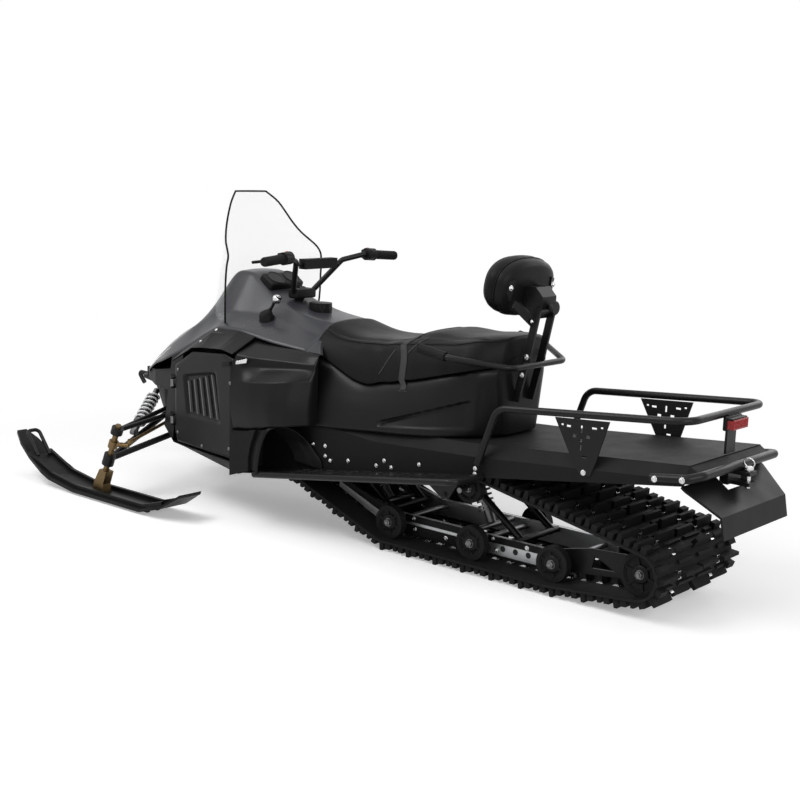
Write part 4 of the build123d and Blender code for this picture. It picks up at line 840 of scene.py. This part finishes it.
# White flash along each side of the nose. Rows: x, y, z, half width
FLASH = ((1215, 128, 492, 9), (1190, 140, 502, 13), (1150, 158, 521, 15),
         (1110, 176, 541, 12), (1080, 188, 556, 6), (1040, 200, 574, 3),
         (990, 214, 600, 2), (950, 224, 618, 1.2))
flash = []
for s in BOTH:
    rows = [[vec(x, s * (y - w), z + w * 0.5), vec(x, s * y, z), vec(x, s * (y + w), z - w)]
            for x, y, z, w in FLASH]
    flash.append([[onto(hood_tree, p, 0.7 * MM) for p in row] for row in lengthwise(rows, 8)])
skin("nose_flash", flash, WHITE, slot="hood")

# Toe cups in the footwells: a rim that is drawn in and forward by steps. Steps: share drawn in, way forward
RIM = ((212, 421, 232), (203, 421, 300), (180, 419, 372), (163, 414, 404), (138, 384, 421), (112, 345, 412),
       (90, 312, 386), (70, 286, 352), (44, 280, 322), (20, 279, 300), (8, 278, 262))
CUP_STEPS = ((-0.05, 10), (-0.035, 2), (0, 0), (0.03, 4), (0.045, 16), (0.06, 30), (0.055, 36), (0.09, 44),
             (0.10, 70), (0.12, 100), (0.16, 118))
CUP_INNER, CUP_OUTER = 273.5, 422.5
cups = []
for s in BOTH:
    rim = curve(RIM, s, 6)
    mid = sum(rim, Vector()) / len(rim)
    rows = []
    for inset, ahead in CUP_STEPS:
        row = [p + (mid - p) * inset + Vector((ahead * MM, 0, 0)) for p in rim]
        for p in row:
            p.y = s * max(CUP_INNER * MM, min(CUP_OUTER * MM, abs(p.y)))
        rows.append(row)
    cups.append(rows)
skin("toe_cups", cups, PLASTIC, slot="footwell_guards")

# Bolts on the tunnel, the rack feet, the posts and the plates. Rows: radius, height, y, then x and z of each
SIDE_BOLTS = (
    (5.5, 5, 269, ((66, 352), (3, 355), (1, 316), (-25, 302), (-117, 317), (-295, 348), (-257, 323),
                       (-329, 328), (-460, 362))),
    (6, 5, 294, ((-729, 379), (-729, 398))),
    (7, 6, 50, ((-749, 766), (-733, 700))),
    (7, 6, 300, ((-1520, 501), (-1425, 489))),
)
for s in BOTH:
    for r, h, y, places in SIDE_BOLTS:
        for x, z in places:
            bolt(screws, vec(x, s * y, z), (0, s, 0), r, h)
plate_tree = tree_of(nodes["rack_plates"], nodes["rack_plates"].matrix_world)
for s in BOTH:
    bolt(screws, plate_tree.find_nearest(vec(-1150, s * 320, 456))[0], (0, s, 0), 6.5, 6)
from_bm("frame_bolts", screws, STEEL, sharp=35, slot="tunnel")

# Tail plate of the deck with its slanted sides, and the gussets of the skid's rear arm
DECK_DEPTH = vec(0, 0, -4)
DECK_TOP = ((-1511, 242, 534), (-1511, -242, 534), (-1552, -226, 511), (-1552, 226, 511))
DECK_SIDE = ((-1511, 241, 535), (-1511, 268, 498), (-1550, 246, 506), (-1552, 225, 511))
GUSSET = ((-500, 330), (-646, 352), (-640, 322), (-600, 262), (-572, 258), (-508, 300))
deck = bmesh.new()
slab(deck, [vec(*p) for p in DECK_TOP], DECK_DEPTH)
gussets = bmesh.new()
for s in BOTH:
    slab(deck, [vec(x, s * y, z) for x, y, z in DECK_SIDE], DECK_DEPTH)
    side_plate(gussets, s, 266, GUSSET, 6)
    bolt(gussets, vec(-584, s * 272, 276), (0, s, 0), 9, 7)
from_bm("deck_tail", deck, TEXTURED, slot="tunnel", smooth=False)
from_bm("arm_gussets", gussets, PAINT, sharp=35, slot="tunnel", smooth=False)

# Wheel faces: a rim step, ribs, a hub ring and an axle nut. Rows: x, z, radius
WHEELS = ((-279, 103, 62.6), (-661, 103, 62.6), (-1008, 103, 62.6), (-1349, 145, 74.6),
          (-643, 301, 54.6))
WHEEL_Y, WHEEL_RIBS = 215, 6
HUB = ((-6, 33), (-1, 31), (1.5, 27), (3, 24), (3, 17), (0, 15))
WASHER = ((0, 16), (2, 16), (2, 13))
AXLE_NUT = ((0, 14), (9, 14), (11, 12), (11, 8), (13, 7), (13, 0))
faces = bmesh.new()
nuts = bmesh.new()
for s in BOTH:
    for x, z, r in WHEELS:
        at = vec(x, s * WHEEL_Y, z)
        turned(faces, at, (0, s, 0), ((-6, r - 13), (-2, r - 15), (-3, r - 19), (-6, r - 20)), 40)
        turned(faces, at, (0, s, 0), HUB, 40)
        for k in range(WHEEL_RIBS):
            t = 2 * pi * k / WHEEL_RIBS + 0.3
            d = Vector((cos(t), 0, sin(t)))
            e = Vector((-sin(t), 0, cos(t)))
            rib = ((31, -4), (31, 4), (r - 17, 3), (r - 17, -3))
            slab(faces, [at + d * (q * MM) + e * (w * MM) + vec(0, -s * 6, 0) for q, w in rib],
                 vec(0, s * 4.5, 0))
        turned(nuts, vec(x, s * (WHEEL_Y + 0.5), z), (0, s, 0), WASHER, 24)
        turned(nuts, vec(x, s * (WHEEL_Y + 2), z), (0, s, 0), AXLE_NUT, 6)
from_bm("wheel_faces", faces, PLASTIC, sharp=35, slot="skid_wheels")
from_bm("wheel_nuts", nuts, DARK_STEEL, sharp=35, slot="skid_axles")

# Rail trim: a dark runner under each rail, dark fields, cap bolts, and holes along its side drawn as painted
# shade
RAIL_SIDE = 145.2
RUNNER = ((-1058, 54.5), (-238, 54.5), (-238, 62), (-1058, 62))
# Fields: front and rear x, lower and upper z
RAIL_FIELDS = ((-304, -636, 62, 91), (-304, -636, 103, 128), (-690, -980, 104, 128))
RAIL_NOSE = ((-240, 92), (34, 194), (28, 212), (-70, 182), (-240, 130))
RAIL_BOLTS = ((-190, 98), (-345, 118), (-352, 78), (-500, 74), (-712, 118), (-728, 78), (-860, 114))
RAIL_HOLES = (-755, -810, -865, -920)
runners = bmesh.new()
rail_bolts = bmesh.new()
rail_hole_shades = bmesh.new()
for s in BOTH:
    side_plate(runners, s, 124, RUNNER, 26)
    for front, rear, low, top in RAIL_FIELDS:
        side_plate(runners, s, RAIL_SIDE, ((rear, low), (front, low), (front, top), (rear, top)), 2.5)
    side_plate(runners, s, RAIL_SIDE, RAIL_NOSE, 3)
    for x, z in RAIL_BOLTS:
        bolt(rail_bolts, vec(x, s * 147.6, z), (0, s, 0), 6, 5)
    for x in RAIL_HOLES:
        turned(rail_hole_shades, vec(x, s * 145.3, 88), (0, s, 0), ((0, 0), (0.4, 9), (0, 11)))
from_bm("rail_runners", runners, PLASTIC, slot="slide_rails", smooth=False)
from_bm("rail_bolts", rail_bolts, STEEL, sharp=35, slot="slide_rails")
from_bm("rail_hole_shades", rail_hole_shades, SHADOW, slot="slide_rails")

# Belt detail. Circles that the belt runs round, in turn: x, z, radius
CIRCLES = ((284, 344, 90), (-643, 301, 55), (-1349, 145, 75), (-1008, 103, 63),
           (-279, 103, 63))
BELT_PITCHES, BELT_THICK = 61, 8


def belt_spans():
    """Arcs and runs in turn: circle x, z and radius, first angle, angle turned, 1 if straight, length."""
    following = CIRCLES[1:] + CIRCLES[:1]
    leaves = [atan2(zb - za, xb - xa) - acos((ra - rb) / sqrt((xb - xa) ** 2 + (zb - za) ** 2))
              for (xa, za, ra), (xb, zb, rb) in zip(CIRCLES, following)]
    spans = []
    for i, ((x, z, r), (xn, zn, rn)) in enumerate(zip(CIRCLES, following)):
        a, b = leaves[i - 1], leaves[i]
        turn = (b - a) % (2 * pi)
        run = sqrt((xn - x + (rn - r) * cos(b)) ** 2 + (zn - z + (rn - r) * sin(b)) ** 2)
        spans += [(x, z, r, a, turn, 0, r * turn), (x, z, r, b, 0, 1, run)]
    return spans


def belt_blocks(bm, shift, grow, blocks):
    """Blocks at each pitch of the belt. Rows: inner and outer y, half width, start and height outwards."""
    spans = belt_spans()
    total = sum(span[-1] for span in spans)
    for k in range(BELT_PITCHES):
        q = total * ((k + shift) % BELT_PITCHES) / BELT_PITCHES
        for x, z, r, a, turn, straight, run in spans:
            if q <= run:
                break
            q -= run
        t = a if straight else a + turn * q / run
        n = Vector((cos(t), 0, sin(t)))
        u = Vector((-sin(t), 0, cos(t)))
        at = vec(x, 0, z) + n * ((r + grow) * MM) + u * (q * straight * MM)
        for s in BOTH:
            for y0, y1, half, start, height in blocks:
                corners = ((-half, y0), (half, y0), (half, y1), (-half, y1))
                slab(bm, [at + u * (w * MM) + vec(0, s * y, 0) + n * (start * MM) for w, y in corners],
                     n * (height * MM))


# Lugs between the tall ones, drive lugs inside and steel clips
lugs = bmesh.new()
belt_blocks(lugs, 0.5, BELT_THICK, ((206, 250, 10, -1, 23), (16, 112, 6, -1, 10), (150, 200, 6, -1, 10)))
belt_blocks(lugs, 0, 0, ((84, 108, 10, 1, -22),))
from_bm("belt_lugs", lugs, BELT_RUBBER, slot="track", smooth=False)
clips = bmesh.new()
belt_blocks(clips, 0, BELT_THICK, ((121, 139, 13, -10, 24),))
from_bm("belt_clips", clips, STEEL, slot="track", smooth=False)

# Coil springs on the front shocks, between shares COIL_FROM and COIL_FROM + COIL_SPAN of their length
SHOCK_FOOT, SHOCK_HEAD = (1048.8, 344.9, 253.9), (1126, 158, 404)
COIL_FROM, COIL_SPAN, COIL_TURNS, COIL_STEPS, COIL_R = 0.26, 0.60, 7, 140, 25.5
coils = bmesh.new()
for s in BOTH:
    foot, head = (vec(x, s * y, z) for x, y, z in (SHOCK_FOOT, SHOCK_HEAD))
    d = (head - foot).normalized()
    e = d.orthogonal().normalized()
    f = d.cross(e)
    line = []
    for k in range(COIL_STEPS + 1):
        t = 2 * pi * COIL_TURNS * k / COIL_STEPS
        line.append(foot.lerp(head, COIL_FROM + COIL_SPAN * k / COIL_STEPS)
                    + (e * cos(t) + f * sin(t)) * (COIL_R * MM))
    pipe(coils, line, 4.2 * MM)
from_bm("shock_coils", coils, WHITE, slot="front_shocks")

# Tail lamp housing and lens ribs
housing = bmesh.new()
brick(housing, (-1530, -54, 622), (-1516, 54, 668), 5)
brick(housing, (-1549, -51, 657), (-1520, 51, 664), 2.5)
from_bm("lamp_housing", housing, PLASTIC, slot="tail_lamp")
ribs = bmesh.new()
for y in range(-42, 43, 7):
    brick(ribs, (-1555.5, y - 1.2, 632), (-1553, y + 1.2, 656), 0.6)
from_bm("lamp_ribs", ribs, RED, slot="tail_lamp")

# Hitch pin with its wire keeper
PIN_X = -1592
PIN = ((0, 0), (0, 6), (2, 8), (62, 8), (62, 15), (70, 15), (72, 12), (72, 0))
KEEPER_STEPS = 28
pin = bmesh.new()
turned(pin, vec(PIN_X, 0, 440), (0, 0, 1), PIN, 24)
from_bm("hitch_pin", pin, STEEL, sharp=35, slot="hitch")
wire = bmesh.new()
angles = [2 * pi * k / KEEPER_STEPS for k in range(KEEPER_STEPS)]
loop = [vec(PIN_X + 18 * cos(t), 16 * sin(t) * 0.4, 524 + 16 * sin(t)) for t in angles]
pipe(wire, loop, 2 * MM, closed=True)
from_bm("pin_keeper", wire, STEEL, slot="hitch")

# Instrument pod on the slope of the dash
POD_SLOPE = Matrix.Rotation(radians(-32), 3, "Y")
DIAL_Y, DIAL_R = 44, 34
pod = bmesh.new()
brick(pod, (486, -92, 896), (566, 92, 944), 12, POD_SLOPE)
from_bm("instrument_pod", pod, PLASTIC, slot="hood")
# The dial faces, sunk in their rims, are drawn in the near-black painted shade
dials = bmesh.new()
face = POD_SLOPE @ Vector((0, 0, 1))
for y in (-DIAL_Y, DIAL_Y):
    turned(dials, vec(526, y, 920) + face * (24 * MM), face,
           ((-3, DIAL_R + 4), (3, DIAL_R + 4), (4, DIAL_R + 2), (1, DIAL_R), (1, 0)), 36)
from_bm("instrument_dials", dials, SHADOW, sharp=35, slot="hood")

# Boot and knob of the shift lever
LEVER_AXIS = (-0.50, -0.07, 0.86)
BOOT = ((-2, 31), (3, 30), (6, 25), (9, 26), (13, 20), (16, 21), (20, 15), (23, 15), (28, 9), (34, 7))
KNOB = ((-6, 7), (-2, 11), (4, 15), (12, 18), (20, 17), (26, 12), (29, 6), (30, 0))
boot = bmesh.new()
turned(boot, vec(425, 178, 800), LEVER_AXIS, BOOT, 28)
from_bm("lever_boot", boot, RUBBER, slot="shift_lever")
knob = bmesh.new()
turned(knob, vec(383, 172, 862), LEVER_AXIS, KNOB, 28)
from_bm("lever_knob", knob, STEEL, slot="shift_lever")

# Ribbed fuel cap. Rows: height, radius, share of the ribs' depth
CAP_X, CAP_Z, CAP_RIBS, CAP_RIB_DEPTH, CAP_STEPS = 300, 826, 14, 1.6, 112
CAP = ((-6, 45, 0), (4, 46, 1), (24, 45, 1), (29, 42, 0.6), (30.5, 36, 0), (30.5, 0.5, 0))
cap_rows = []
for h, r, wave in CAP:
    row = []
    for k in range(CAP_STEPS):
        t = 2 * pi * k / CAP_STEPS
        wavy = r + wave * CAP_RIB_DEPTH * cos(CAP_RIBS * t)
        row.append(vec(CAP_X + wavy * cos(t), wavy * sin(t), CAP_Z + h))
    cap_rows.append(row)
skin("cap_ribs", [cap_rows], PLASTIC, wrap=True, sharp=40, slot="fuel_cap")

# Bar clamp, switches and ribbed grips
GRIP_END, GRIP_START = (240, 376, 1036), (262, 214, 1046)
GRIP_RIBS, GRIP_PITCH, GRIP_LOW, GRIP_HIGH = 18, 6, 17, 18.6
grip_profile = [(-1, 0), (-1, GRIP_LOW)]
for k in range(GRIP_RIBS):
    steps = ((4, GRIP_LOW), (5, GRIP_HIGH), (8, GRIP_HIGH), (9, GRIP_LOW))
    grip_profile += [(h + GRIP_PITCH * k, r) for h, r in steps]
clamp = bmesh.new()
brick(clamp, (378, -56, 866), (432, 56, 904), 8)
switches = bmesh.new()
grips = bmesh.new()
for s in BOTH:
    low, high = sorted((s * 218, s * 262))
    brick(clamp, (236, low, 1026), (290, high, 1064), 7)
    turned(switches, vec(262, s * 232, 1062), (-0.35, 0, 0.94), ((0, 9), (6, 9), (8, 7), (8, 0)))
    end, start = (vec(x, s * y, z) for x, y, z in (GRIP_END, GRIP_START))
    turned(grips, end, (start - end).normalized(), grip_profile, 24)
from_bm("bar_clamp", clamp, PLASTIC, body="bars", slot="handlebar")
from_bm("bar_switches", switches, RED_CAP, sharp=40, body="bars", slot="bar_controls")
from_bm("grip_ribs", grips, RUBBER, sharp=45, body="bars", slot="bar_grips")

# Backrest fittings: a knob behind, and on each side a plate on the shell with a strut down to the post
POST_Y = 45
ADJUSTER = ((0, 10), (14, 10), (14, 22), (17, 25), (27, 25), (30, 22), (30, 0))
PLATE_X = -745
PLATE = ((112, 1036), (146, 1030), (150, 985), (132, 946), (118, 958))
STRUT = ((-736, 134, 944), (-734, 116, 966), (-770, POST_Y, 906), (-764, POST_Y, 868))
back_tree = tree_of(back)
adjusters = bmesh.new()
turned(adjusters, vec(-800, 0, 942), (-1, 0, 0), ADJUSTER, 28)
adjuster_bolts = bmesh.new()
for s in BOTH:
    slab(adjusters, [onto(back_tree, vec(PLATE_X, s * y, z), 1 * MM) for y, z in PLATE], vec(-5, 0, 0))
    slab(adjusters, [vec(x, s * y, z) for x, y, z in STRUT], vec(-6, 0, 0))
    on_plate = onto(back_tree, vec(PLATE_X, s * 133, 1004), 0) - vec(6, 0, 0)
    bolt(adjuster_bolts, on_plate, (-1, 0, 0.1), 7, 6)
    bolt(adjuster_bolts, vec(-772, s * (POST_Y + 14), 894), (-1, 0, 0), 6, 5)
from_bm("backrest_adjusters", adjusters, PAINT, sharp=35, slot="backrest_post")
from_bm("adjuster_bolts", adjuster_bolts, STEEL, sharp=35, slot="backrest_post")

# Floor
plain = bmesh.new()
bmesh.ops.create_grid(plain, x_segments=40, y_segments=40, size=40.0)
floor_mesh = bpy.data.meshes.new("floor")
plain.to_mesh(floor_mesh)
plain.free()
floor_mesh.materials.append(FLOOR)
floor = bpy.data.objects.new("floor", floor_mesh)
bpy.context.collection.objects.link(floor)
